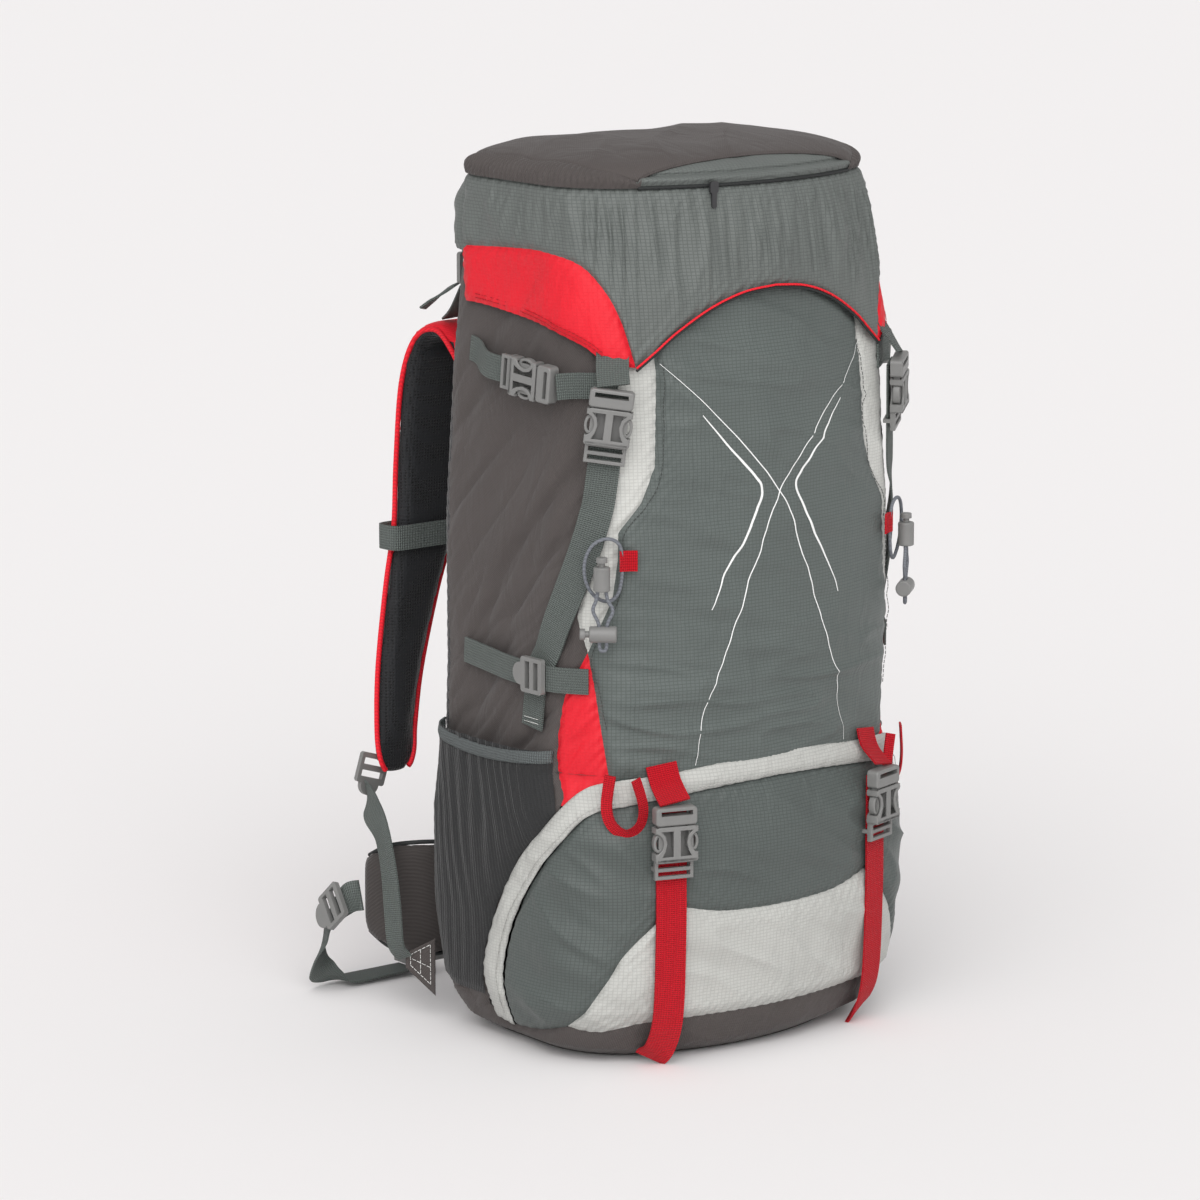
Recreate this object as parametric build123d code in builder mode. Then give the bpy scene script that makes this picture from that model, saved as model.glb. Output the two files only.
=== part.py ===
"""Hiking backpack, stuffed and standing on its base.

The frame has +Z up and +Y towards the wearer's back; the pack's outer front faces -Y.
The origin is on the mirror plane, in the flat face the pack stands on. Everything is in millimetres.
Left is -X. Pieces with a left and a right copy are modelled on the left and mirrored.
"""

import os
from math import cos, radians, sin, sqrt, tan

from build123d import *

os.makedirs("parts", exist_ok=True)

# Height, half width, front and back of the stuffed bag, from the base up to the bag's mouth.
BAG_STATIONS = (
    (0, 136, -110, 76),
    (12, 154, -127, 90),
    (45, 170, -141, 100),
    (110, 175, -148, 104),
    (185, 174, -147, 104),
    (232, 166, -137, 104),
    (300, 164, -138, 104),
    (420, 164, -140, 104),
    (540, 158, -134, 101),
    (600, 153, -123, 98),
    (625, 149, -117, 96),
)
# The same for the outside of the lid.
LID_STATIONS = (
    (540, 164, -141, 106),
    (600, 159, -134, 104),
    (650, 153, -125, 101),
    (685, 148, -117, 96),
    (700, 138, -106, 87),
    (708, 116, -84, 68),
)

FRONT_DOME = 48  # how far the middle of the front stands out past its corners
FRONT_CORNER = 70
BACK_CORNER = 48
FABRIC = 3  # thickness of the stuffed fabric walls
SEAM_FRONT_Y = -60  # where the side panels meet the front panel
SEAM_BACK_Y = 78  # where the side panels meet the back panel
BASE_SEAM = 28  # top of the base panel
COMPARTMENT_SEAM = 234  # seam between the lower compartment and the main one
BAG_TOP = 625

WEB = 1.6  # webbing thickness
SIDE_WEB_WIDTH = 20
LID_WEB_WIDTH = 25
FRONT_WEB_WIDTH = 25
GAP = 0.4  # clearance between pieces that lie on each other


# ---------------------------------------------------------------- helpers


def save(builder, name):
    """Label a finished piece and write its STEP file."""
    builder.part.label = name
    export_step(builder.part, f"parts/{name}.step")


def save_pair(builder, name):
    """Write a left-hand piece and its mirror image as two nodes."""
    with BuildPart() as other:
        mirror(builder.part, about=Plane.YZ)
    save(builder, f"left_{name}")
    save(other, f"right_{name}")


def save_both(builder, name):
    """Write a left-hand piece and its mirror image as one node of two solids."""
    with BuildPart() as both:
        add(builder.part)
        mirror(builder.part, about=Plane.YZ)
    save(both, name)


def size_at(stations, z):
    """Half width, front and back at a height between two stations."""
    for low, high in zip(stations, stations[1:]):
        if z <= high[0]:
            part = (z - low[0]) / (high[0] - low[0])
            return tuple(a + part * (b - a) for a, b in zip(low[1:], high[1:]))
    return stations[-1][1:]


def outline(stations, z, grow):
    """The bag's outline at a height, grown outwards: domed front, straight sides, flat back."""
    half, front, back = size_at(stations, z)
    with BuildSketch(Plane.XY.offset(z)) as section:
        with BuildLine():
            corner = front + FRONT_DOME
            ThreePointArc((-half, corner), (0, front), (half, corner))
            Polyline((half, corner), (half, back), (-half, back), (-half, corner))
        make_face()
        fillet(section.vertices().group_by(Axis.Y)[-1], radius=BACK_CORNER)
        fillet(section.vertices().group_by(Axis.Y)[0], radius=FRONT_CORNER)
        if grow:
            offset(amount=grow)
    return section.sketch


def outlines(stations, low, high, grow):
    """Outlines from one height to another, with every station between them."""
    heights = [low] + [s[0] for s in stations if low < s[0] < high] + [high]
    return [outline(stations, z, grow) for z in heights]


def wall_between(low, high, inner_stations, inner_grow, outer_stations, outer_grow):
    """A wall between two surfaces, each a table of stations grown outwards."""
    with BuildPart() as wall:
        loft(outlines(outer_stations, low, high, outer_grow), ruled=True)
        loft(outlines(inner_stations, low, high, inner_grow), ruled=True, mode=Mode.SUBTRACT)
    return wall.part


def ring(stations, low, high, inner, outer):
    """A wall that follows the bag's sides, between two offsets of its surface."""
    return wall_between(low, high, stations, inner, stations, outer)


def keep_box(x_range, y_range, z_range):
    """Inside a part block: keep only what lies in this box."""
    size = tuple(b - a for a, b in (x_range, y_range, z_range))
    middle = tuple((a + b) / 2 for a, b in (x_range, y_range, z_range))
    with Locations(middle):
        Box(*size, mode=Mode.INTERSECT)


def ribbon(stations, width, thickness):
    """A strap through points, each given with the direction its face looks in.

    A width or thickness may be one number or one for each point.
    """
    count = len(stations)
    widths = width if isinstance(width, (list, tuple)) else [width] * count
    depths = thickness if isinstance(thickness, (list, tuple)) else [thickness] * count
    points = [Vector(*place) for place, _ in stations]
    sections = []
    for index, (place, face) in enumerate(stations):
        ahead = points[min(index + 1, count - 1)]
        behind = points[max(index - 1, 0)]
        along = (ahead - behind).normalized()
        across = Vector(*face).cross(along).normalized()
        with BuildSketch(Plane(points[index], x_dir=across, z_dir=along)) as section:
            Rectangle(widths[index], depths[index])
        sections.append(section.sketch)
    with BuildPart() as strap:
        loft(sections, ruled=True)
    return strap.part


def front_arc(z):
    """Centre (on the mirror plane) and radius of the domed front's arc at a height."""
    half, front, _ = size_at(BAG_STATIONS, z)
    radius = (half**2 + FRONT_DOME**2) / (2 * FRONT_DOME)
    return front + radius, radius


def front_place(z, x, away):
    """A point over the domed front and the way the front faces there."""
    centre, radius = front_arc(z)
    reach = sqrt((radius + away) ** 2 - x**2)
    return (x, centre - reach, z), (x / (radius + away), -reach / (radius + away), 0)


def corner_place(z, turn, away):
    """A point over the rounded front left corner; turn is 0 at the side and grows to the front."""
    centre, radius = front_arc(z)
    corner_x = size_at(BAG_STATIONS, z)[0] - FRONT_CORNER
    corner_y = centre - sqrt((radius - FRONT_CORNER) ** 2 - corner_x**2)
    face = (-cos(radians(turn)), -sin(radians(turn)), 0)
    reach = FRONT_CORNER + away
    return (-corner_x + reach * face[0], corner_y + reach * face[1], z), face


def side_place(z, y, away):
    """A point over the flat part of the left side."""
    return (-(size_at(BAG_STATIONS, z)[0] + away), y, z), (-1, 0, 0)


def place(part, plane):
    """Inside a part block: add a finished shape on a plane."""
    with Locations(plane.location):
        add(part)


# ---------------------------------------------------------------- bag walls


with BuildPart() as bag_wall:
    add(ring(BAG_STATIONS, BASE_SEAM, BAG_TOP, -FABRIC, 0))

with BuildPart() as front_panel:
    add(bag_wall.part)
    keep_box((-200, 200), (-200, SEAM_FRONT_Y), (COMPARTMENT_SEAM, BAG_TOP))
save(front_panel, "front_panel")

with BuildPart() as lower_front_panel:
    add(bag_wall.part)
    keep_box((-200, 200), (-200, SEAM_FRONT_Y), (BASE_SEAM, COMPARTMENT_SEAM))
save(lower_front_panel, "lower_front_panel")

with BuildPart() as side_panel:
    add(bag_wall.part)
    keep_box((-200, 0), (SEAM_FRONT_Y, SEAM_BACK_Y), (BASE_SEAM, BAG_TOP))
save_pair(side_panel, "side_panel")

with BuildPart() as back_panel:
    add(bag_wall.part)
    keep_box((-200, 200), (SEAM_BACK_Y, 200), (BASE_SEAM, BAG_TOP))
save(back_panel, "back_panel")

with BuildPart() as base_panel:
    loft(outlines(BAG_STATIONS, 0, BASE_SEAM, 0), ruled=True)
    loft(outlines(BAG_STATIONS, FABRIC, BASE_SEAM, -FABRIC), ruled=True, mode=Mode.SUBTRACT)
save(base_panel, "base_panel")

SHEET_Y = 92  # the frame sheet's face towards the bag

with BuildPart() as compartment_floor:
    loft(outlines(BAG_STATIONS, COMPARTMENT_SEAM - 2, COMPARTMENT_SEAM + 1, -FABRIC - 6), ruled=True)
    keep_box((-200, 200), (-200, SHEET_Y - 6), (0, 400))
save(compartment_floor, "compartment_floor")

COLLAR_TOP = 642

with BuildPart() as collar:
    add(ring(BAG_STATIONS, BAG_TOP - 20, BAG_TOP, -FABRIC - 2.6, -FABRIC - 0.2))
    with BuildSketch(Plane.XY.offset(BAG_TOP)) as collar_foot:
        add(outline(BAG_STATIONS, BAG_TOP, -FABRIC - 0.2))
        add(outline(BAG_STATIONS, BAG_TOP, -FABRIC - 2.6), mode=Mode.SUBTRACT)
    extrude(amount=COLLAR_TOP - BAG_TOP)
save(collar, "collar")


# ---------------------------------------------------------------- back: sheet, stays, pads

with BuildPart() as frame_sheet:
    with BuildSketch(Plane.XZ.offset(-SHEET_Y)):
        with Locations((0, 330)):
            RectangleRounded(230, 520, 40)
    extrude(amount=1.5)
save(frame_sheet, "frame_sheet")

with BuildPart() as frame_stays:
    for x in (-60, 60):
        with BuildSketch(Plane.XZ.offset(-SHEET_Y - 3.8)):
            with Locations((x, 330)):
                SlotOverall(490, 18, rotation=90)
        extrude(amount=3)
save(frame_stays, "frame_stays")

PAD_Y = 104.4

with BuildPart() as back_pads:
    for x in (-62, 62):
        with BuildSketch(Plane.XZ.offset(-PAD_Y)):
            with Locations((x, 345)):
                RectangleRounded(78, 290, 24)
        extrude(amount=-12, taper=12)
    with BuildSketch(Plane.XZ.offset(-PAD_Y)):
        with Locations((0, 105)):
            RectangleRounded(190, 130, 40)
    extrude(amount=-16, taper=12)
save(back_pads, "back_pads")


# ---------------------------------------------------------------- mesh side pockets

# Height, half width, front and back of the mesh pockets' outside.
POCKET_STATIONS = (
    (28, 174, -143, 104),
    (50, 184, -150, 112),
    (200, 185, -155, 114),
    (250, 183, -150, 113),
)
POCKET_BOTTOM = 30
POCKET_TOP = 250
POCKET_REAR = 84
POCKET_WALL = 1.8
# The curved seam over the lower compartment, seen from the side: (y, z) from the base up.
FLAP_LINE = ((-2, 20), (-14, 80), (-46, 150), (-88, 202), (-130, 224), (-165, 226))
FLAP_WIDTH = 16


def behind_flap(margin):
    """Everything behind the curved seam, this far from its middle, as seen from the side."""
    with BuildPart() as behind:
        with BuildSketch(Plane.YZ.offset(-250)):
            with BuildLine():
                seam = Spline(*((y + margin, z + margin / 2) for y, z in FLAP_LINE))
                Polyline(seam @ 1, (-165, 400), (200, 400), (200, 0), (-2 + margin, 0), seam @ 0)
            make_face()
        extrude(amount=500)
    return behind.part


with BuildPart() as pocket_room:
    add(wall_between(POCKET_BOTTOM + 12, POCKET_TOP, BAG_STATIONS, GAP, POCKET_STATIONS, -POCKET_WALL))
    keep_box((-220, 0), (-44, POCKET_REAR - 5), (POCKET_BOTTOM, POCKET_TOP))
    add(behind_flap(FLAP_WIDTH / 2 + 8), mode=Mode.INTERSECT)

with BuildPart() as mesh_pocket:
    add(wall_between(POCKET_BOTTOM, POCKET_TOP, BAG_STATIONS, GAP, POCKET_STATIONS, 0))
    keep_box((-220, 0), (-48, POCKET_REAR), (POCKET_BOTTOM, POCKET_TOP))
    add(behind_flap(FLAP_WIDTH / 2 + 3), mode=Mode.INTERSECT)
    add(pocket_room.part, mode=Mode.SUBTRACT)
save_pair(mesh_pocket, "mesh_pocket")


# ---------------------------------------------------------------- curved zip flap

with BuildPart() as zip_flap:
    add(ring(BAG_STATIONS, BASE_SEAM, COMPARTMENT_SEAM + 6, GAP, GAP + 2))
    with BuildSketch(Plane.YZ.offset(-250)):
        with BuildLine():
            Spline(*FLAP_LINE)
        trace(line_width=FLAP_WIDTH)
    extrude(amount=500, mode=Mode.INTERSECT)
save(zip_flap, "zip_flap")


# ---------------------------------------------------------------- lid

LID_HINGE_Y = 105
LID_HINGE_Z = 540
LID_EDGE_CORNER = 556  # lower edge of the lid at its front corners
LID_EDGE_ARCH = 607  # lower edge in the middle of the front
LID_EDGE_REAR = 588
LID_REAR_WALL = 634  # the rear wall starts above the shoulder straps
LID_FLOOR = 648
LID_SIDE_REAR_Y = 70
PIPING_X = 123

with BuildPart() as lid_shell:
    loft(outlines(LID_STATIONS, 540, 708, 0), ruled=True)
    loft(outlines(LID_STATIONS, 530, 704, -FABRIC), ruled=True, mode=Mode.SUBTRACT)
    with BuildSketch(Plane.YZ.offset(-200)):
        with BuildLine():
            Polyline((-200, 400), (-200, LID_EDGE_CORNER), (-114, LID_EDGE_CORNER))
            Polyline((-114, LID_EDGE_CORNER), (LID_SIDE_REAR_Y, LID_EDGE_REAR))
            Polyline((LID_SIDE_REAR_Y, LID_EDGE_REAR), (LID_SIDE_REAR_Y, LID_REAR_WALL))
            Polyline((LID_SIDE_REAR_Y, LID_REAR_WALL), (200, LID_REAR_WALL), (200, 400), (-200, 400))
        make_face()
    extrude(amount=400, mode=Mode.SUBTRACT)
    with BuildSketch(Plane.XZ.offset(20)):
        with BuildLine():
            ThreePointArc((-PIPING_X, LID_EDGE_CORNER), (0, LID_EDGE_ARCH), (PIPING_X, LID_EDGE_CORNER))
            Polyline(
                (PIPING_X, LID_EDGE_CORNER),
                (PIPING_X, 500),
                (-PIPING_X, 500),
                (-PIPING_X, LID_EDGE_CORNER),
            )
        make_face()
    extrude(amount=200, mode=Mode.SUBTRACT)
save(lid_shell, "lid_shell")

with BuildPart() as lid_floor:
    loft(outlines(LID_STATIONS, LID_FLOOR, LID_FLOOR + 2, -FABRIC - 0.2), ruled=True)
save(lid_floor, "lid_floor")

with BuildPart() as lid_flap:
    with BuildSketch(Plane.XZ.offset(-LID_HINGE_Y)):
        with Locations((0, (LID_HINGE_Z + LID_REAR_WALL + 12) / 2)):
            Rectangle(96, LID_REAR_WALL + 12 - LID_HINGE_Z)
    extrude(amount=1, both=True)
save(lid_flap, "lid_flap")


# ---------------------------------------------------------------- buckles

PRONG = 18  # how far the plug reaches into the socket
SOCKET_SHELL = 28
LADDER = 15
PLUG_BASE = 15
BUCKLE_LOW = 2.6  # underside of a buckle above the middle of its webbing
BUCKLE_THICK = 10.6


def buckle_socket(web_width):
    """A side-release socket: it starts at the origin, reaches along +X and looks along +Z."""
    width = web_width + 10
    middle = BUCKLE_LOW + BUCKLE_THICK / 2
    with BuildPart() as socket:
        with BuildSketch(Plane.XY.offset(BUCKLE_LOW)):
            with Locations((SOCKET_SHELL / 2, 0)):
                RectangleRounded(SOCKET_SHELL, width, 4)
        extrude(amount=BUCKLE_THICK)
        fillet(socket.faces().sort_by(Axis.Z)[-1].edges(), radius=2)
        with Locations((SOCKET_SHELL / 2 - 3, 0, middle)):
            Box(SOCKET_SHELL, width - 4, BUCKLE_THICK - 3.4, mode=Mode.SUBTRACT)
        with BuildSketch(Plane.XY.offset(BUCKLE_LOW - 1)):
            with Locations((SOCKET_SHELL / 2 - 1, width / 2), (SOCKET_SHELL / 2 - 1, -width / 2)):
                Ellipse(8.5, 7)
        extrude(amount=BUCKLE_THICK + 2, mode=Mode.SUBTRACT)
        with Locations((SOCKET_SHELL + LADDER / 2, 0, BUCKLE_LOW + 1.8)):
            Box(LADDER, width - 2, 3.6)
        with Locations(*((SOCKET_SHELL + x, 0, BUCKLE_LOW + 1.8) for x in (4, 10.5))):
            Box(3.4, web_width + 1.4, 5, mode=Mode.SUBTRACT)
        for side in (-1, 1):
            with Locations((SOCKET_SHELL + 7.2, side * (web_width / 2 + 2.2), 0)):
                Box(3, 2.6, 2 * BUCKLE_LOW + 1)
        with Locations((SOCKET_SHELL + 7.2, 0, -2.2)):
            Box(3, web_width + 4, 1.6)
    return socket.part


def buckle_plug(web_width):
    """A side-release plug: its base lies behind the origin and its prongs reach along +X."""
    width = web_width + 10
    middle = BUCKLE_LOW + BUCKLE_THICK / 2
    prong_thick = BUCKLE_THICK - 5.6
    with BuildPart() as plug:
        with BuildSketch(Plane.XY.offset(BUCKLE_LOW + 0.4)):
            with Locations((-PLUG_BASE / 2 - 0.3, 0)):
                RectangleRounded(PLUG_BASE - 0.6, width - 1, 3)
        extrude(amount=BUCKLE_THICK - 0.8)
        fillet(plug.faces().sort_by(Axis.Z)[-1].edges(), radius=1.6)
        with Locations((-PLUG_BASE + 4.6, 0, middle)):
            Box(3.6, web_width + 1, BUCKLE_THICK + 4, mode=Mode.SUBTRACT)
        with Locations((PRONG / 2 - 1, 0, middle)):
            Box(PRONG + 2, 4, prong_thick)
        for side in (-1, 1):
            with Locations((PRONG / 2 - 1, side * (width / 2 - 5.2), middle)):
                Box(PRONG + 2, 3.8, prong_thick)
            with Locations((PRONG - 4, side * (width / 2 - 5.8), middle)):
                Box(6, 5.2, prong_thick)
    return plug.part


def buckle_plane(place_and_face, along):
    """The plane of a buckle: its X runs along the strap, its Z looks out."""
    point, face = place_and_face
    return Plane(point, x_dir=along, z_dir=face)


# Upper compression straps: a buckle at the front corner, webbing back along the side.
UPPER_TURN = 8
UPPER_Z = 538
UPPER_AWAY = 5
upper_spot = corner_place(UPPER_Z, UPPER_TURN, UPPER_AWAY)
upper_along = Vector(-sin(radians(UPPER_TURN)), cos(radians(UPPER_TURN)), 0.1).normalized()
upper_plane = buckle_plane(upper_spot, upper_along)

# Lid straps: the buckle hangs from the lid on the front corner.
LID_STRAP_TURN = 50
LID_STRAP_Z = 522
LID_STRAP_LEAN = 0.09  # how far the strap runs outwards, and backwards, for each 1 down
lid_spot = corner_place(LID_STRAP_Z, LID_STRAP_TURN, 10)
lid_along = Vector(-LID_STRAP_LEAN, LID_STRAP_LEAN, -1).normalized()
lid_face = Vector(*lid_spot[1])
lid_face = (lid_face - lid_along * lid_face.dot(lid_along)).normalized()
lid_plane = Plane(lid_spot[0], x_dir=lid_along, z_dir=lid_face)

# Front straps: vertical, over the lower compartment.
FRONT_STRAP_X = -104
FRONT_BUCKLE_Z = 198
front_spot = front_place(150, FRONT_STRAP_X, 5)
front_face = front_spot[1]
front_plane = Plane((FRONT_STRAP_X, front_spot[0][1], FRONT_BUCKLE_Z), x_dir=(0, 0, -1), z_dir=front_face)


def on_plane(plane, x, z):
    """A point in a buckle's own plane: x along its strap, z outwards."""
    return tuple(plane.origin + plane.x_dir * x + plane.z_dir * z)


with BuildPart() as upper_socket:
    place(buckle_socket(SIDE_WEB_WIDTH), upper_plane)
save_pair(upper_socket, "upper_socket")

with BuildPart() as lid_socket:
    place(buckle_socket(LID_WEB_WIDTH), lid_plane)
save_pair(lid_socket, "lid_socket")

with BuildPart() as front_socket:
    place(buckle_socket(FRONT_WEB_WIDTH), front_plane)
save_pair(front_socket, "front_socket")

with BuildPart() as strap_plugs:
    place(buckle_plug(SIDE_WEB_WIDTH), upper_plane)
    place(buckle_plug(FRONT_WEB_WIDTH), front_plane)
save_both(strap_plugs, "strap_plugs")

with BuildPart() as lid_plugs:
    place(buckle_plug(LID_WEB_WIDTH), lid_plane)
save_both(lid_plugs, "lid_plugs")


# ---------------------------------------------------------------- webbing on the bag

PLUG_TAIL = -PLUG_BASE - 3  # where a fixed loop meets the plug
PLUG_MIDDLE = BUCKLE_LOW + BUCKLE_THICK / 2

with BuildPart() as upper_straps:
    add(
        ribbon(
            [
                (on_plane(upper_plane, -10, 0), upper_plane.z_dir),
                (on_plane(upper_plane, 64, 0), upper_plane.z_dir),
                side_place(550, 34, 3),
                side_place(552, 46, 1.6),
            ],
            SIDE_WEB_WIDTH,
            WEB,
        )
    )
    add(
        ribbon(
            [
                (on_plane(upper_plane, PLUG_TAIL, PLUG_MIDDLE), upper_plane.z_dir),
                corner_place(537, 28, 7),
                corner_place(537, 44, 3),
                corner_place(536, 54, 2),
            ],
            SIDE_WEB_WIDTH,
            WEB,
        )
    )
save_both(upper_straps, "upper_straps")

with BuildPart() as lid_strap_webbing:
    add(
        ribbon(
            [
                (on_plane(lid_plane, -10, 0), lid_plane.z_dir),
                (on_plane(lid_plane, 70, 0), lid_plane.z_dir),
                corner_place(436, 41, 5.2),
                corner_place(418, 37, 4.8),
                corner_place(396, 31, 4.4),
                corner_place(374, 24, 3.8),
                corner_place(350, 16, 3.2),
                corner_place(328, 9, 2.6),
                side_place(308, -48, 2),
                side_place(266, -43, 2.4),
            ],
            LID_WEB_WIDTH,
            WEB,
        )
    )
save_both(lid_strap_webbing, "lid_strap_webbing")

with BuildPart() as lid_webbing:
    add(
        ribbon(
            [
                (on_plane(lid_plane, PLUG_TAIL, PLUG_MIDDLE), lid_plane.z_dir),
                corner_place(560, 53, 16),
                corner_place(590, 56, 14.5),
            ],
            LID_WEB_WIDTH,
            WEB,
        )
    )
save_both(lid_webbing, "lid_webbing")

with BuildPart() as front_straps:
    add(
        ribbon(
            [
                (on_plane(front_plane, -10, 0), front_face),
                (on_plane(front_plane, 88, 0), front_face),
                front_place(45, FRONT_STRAP_X, 9),
                front_place(16, FRONT_STRAP_X, 14),
                front_place(4, FRONT_STRAP_X, 17),
            ],
            FRONT_WEB_WIDTH,
            WEB,
        )
    )
    add(
        ribbon(
            [
                (on_plane(front_plane, PLUG_TAIL, PLUG_MIDDLE), front_face),
                front_place(228, FRONT_STRAP_X, 9),
                front_place(242, FRONT_STRAP_X, 4),
            ],
            FRONT_WEB_WIDTH,
            WEB,
        )
    )
save_both(front_straps, "front_straps")

LADDER_Z = 309
LADDER_TURN = 2
LADDER_AWAY = 5.6

with BuildPart() as lower_straps:
    add(
        ribbon(
            [
                corner_place(308, 38, 2.4),
                corner_place(308, 29, 3),
                corner_place(308, 17, 5.6),
                corner_place(308, LADDER_TURN, LADDER_AWAY),
                side_place(LADDER_Z, -16, LADDER_AWAY),
                side_place(313, 46, 2),
            ],
            SIDE_WEB_WIDTH,
            WEB,
        )
    )
save_both(lower_straps, "lower_straps")


def ladder_lock(web_width):
    """A ladder lock in its own plane: the webbing runs below it along X, a tab points to +X."""
    with BuildPart() as lock:
        with BuildSketch(Plane.XY.offset(1.4)):
            RectangleRounded(25, web_width + 8, 2.5)
            with Locations((13, 0)):
                Ellipse(9, web_width / 2 - 1)
            with Locations((-5.6, 0), (4.6, 0)):
                Rectangle(5.4, web_width + 1.4, mode=Mode.SUBTRACT)
        extrude(amount=4.2)
    return lock.part


lower_ladder_spot = corner_place(LADDER_Z, LADDER_TURN, LADDER_AWAY)
lower_ladder_along = Vector(-sin(radians(LADDER_TURN)), cos(radians(LADDER_TURN)), 0)
LIFTER_X = -118
LIFTER_Z = 606

with BuildPart() as ladder_locks:
    place(ladder_lock(SIDE_WEB_WIDTH), Plane(lower_ladder_spot[0], lower_ladder_along, lower_ladder_spot[1]))
    place(ladder_lock(16), Plane((LIFTER_X, 97.5, LIFTER_Z), (0, 0, 1), (0, 1, 0)))
save_both(ladder_locks, "ladder_locks")


# ---------------------------------------------------------------- red loops, bungee sets

LOOP_WIDTH = 9
LOOP_THICK = 1.4
loop_spot = corner_place(212, 64, 10)


def local_point(spot, right, up, out):
    """A point right of, above and out from a place on the front left corner."""
    (x, y, z), (face_x, face_y, _) = spot
    return (x - face_y * right + face_x * out, y + face_x * right + face_y * out, z + up)


def local_vector(spot, right, up, out):
    """A direction in the same frame as local_point."""
    face_x, face_y, _ = spot[1]
    return (-face_y * right + face_x * out, face_x * right + face_y * out, up)


TOOL_LOOP = ((-15, 26), (-18, 2), (-14, -13), (-3, -21), (8, -15), (11, 0), (5, 22))  # right and up

BUNGEE_Z = 375
BUNGEE_TURN = 50
BUNGEE_AWAY = 7
bungee_spot = corner_place(BUNGEE_Z, BUNGEE_TURN, BUNGEE_AWAY)
CORD = 2.8  # diameter of the elastic cord
TAB_TUNNEL = 10.4  # where the cord runs through the tab, right of the spot
TAB_OUT = -0.4
TAB_TOP = 37  # above the spot
TAB_HEIGHT = 16
TAB_WALL = 1.1  # thickness of the folded tab round its tunnel
TAB_PLAY = 0.5  # between the cord and the tunnel

with BuildPart() as bungee_tab:
    tab_start = local_point(bungee_spot, 0, TAB_TOP, 0)
    with BuildSketch(Plane(tab_start, local_vector(bungee_spot, 1, 0, 0), (0, 0, -1))):
        with Locations((TAB_TUNNEL, TAB_OUT)):
            Circle(CORD / 2 + TAB_PLAY + TAB_WALL)
        with Locations((TAB_TUNNEL + 6, TAB_OUT - 1.4)):
            Rectangle(12, 2.4)
        with Locations((TAB_TUNNEL, TAB_OUT)):
            Circle(CORD / 2 + TAB_PLAY, mode=Mode.SUBTRACT)
    extrude(amount=TAB_HEIGHT)

with BuildPart() as red_loops:
    add(bungee_tab.part)
    loop_start = local_point(loop_spot, 0, 0, -LOOP_WIDTH / 2)
    with BuildSketch(Plane(loop_start, local_vector(loop_spot, 1, 0, 0), loop_spot[1])):
        with BuildLine():
            Polyline(*TOOL_LOOP)
        trace(line_width=LOOP_THICK)
    extrude(amount=LOOP_WIDTH)
save_both(red_loops, "red_loops")

LOCK_OUT = 10.5
UPPER_LOCK = (-5, 17)
LOWER_LOCK = (-4, -26)


def cord_lock(length):
    """A barrel cord lock along Z, with a bore for its plunger on top."""
    with BuildPart() as lock:
        Cylinder(6.4, length)
        fillet(lock.edges().filter_by(GeomType.CIRCLE), radius=1.2)
        with Locations((0, 0, length / 2 - 2.5)):
            Cylinder(2.6, 5, mode=Mode.SUBTRACT)
    return lock.part


def plunger(length):
    """The sprung button of a cord lock of this length: a stem in the bore and a round head."""
    with BuildPart() as button:
        with Locations((0, 0, length / 2 + 0.9)):
            Cylinder(2.5, 4.8)
        with Locations((0, 0, length / 2 + 5.3)):
            Cylinder(4.4, 4)
        fillet(button.edges().filter_by(GeomType.CIRCLE).sort_by(Axis.Z)[-1], radius=1)
    return button.part


UPPER_LOCK_LENGTH = 19
LOWER_LOCK_LENGTH = 21
upper_lock_plane = Plane(
    local_point(bungee_spot, *UPPER_LOCK, LOCK_OUT),
    x_dir=local_vector(bungee_spot, 0, 0, 1),
    z_dir=(0, 0, 1),
)
lower_lock_plane = Plane(
    local_point(bungee_spot, *LOWER_LOCK, LOCK_OUT),
    x_dir=(0, 0, 1),
    z_dir=local_vector(bungee_spot, -1, 0, 0),
)

with BuildPart() as cord_lock_bodies:
    place(cord_lock(UPPER_LOCK_LENGTH), upper_lock_plane)
    for right in (-8, -2):
        with Locations(Plane(local_point(bungee_spot, right, 9, LOCK_OUT)).location):
            Cylinder(CORD / 2 + 0.2, 8, mode=Mode.SUBTRACT)
    place(cord_lock(LOWER_LOCK_LENGTH), lower_lock_plane)
    with Locations(lower_lock_plane.location):
        Box(20, 3.8, 9.6, mode=Mode.SUBTRACT)
save_both(cord_lock_bodies, "cord_lock_bodies")

with BuildPart() as upper_plunger:
    place(plunger(UPPER_LOCK_LENGTH), upper_lock_plane)
save_pair(upper_plunger, "upper_plunger")

with BuildPart() as lower_plunger:
    place(plunger(LOWER_LOCK_LENGTH), lower_lock_plane)
save_pair(lower_plunger, "lower_plunger")

# The elastic cords' routes: right, up and out from the bungee spot.
RING_ROUTE = (
    (10.4, 29.5, -0.4),
    (10.4, 41, 0.2),
    (1, 48, 3),
    (-12, 44, 4.6),
    (-19, 30, 4.8),
    (-18, 12, 3.6),
    (-9, -1, 1.6),
    (3, -3, 0.6),
    (10.4, 9, -0.2),
    (10.4, 28.5, -0.4),
)
LOOP_ROUTE = (
    (-8, 11, 10.5),
    (-8.2, 1, 10.6),
    (-13, -7, 10.8),
    (-7, -17, 10.5),
    (-6.4, -28, 10.3),
    (-7, -39, 10.5),
    (-1, -39, 10.5),
    (-1.6, -28, 10.7),
    (-1, -17, 10.5),
    (5, -7, 10.8),
    (-1.8, 1, 10.6),
    (-2, 11, 10.5),
)


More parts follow.
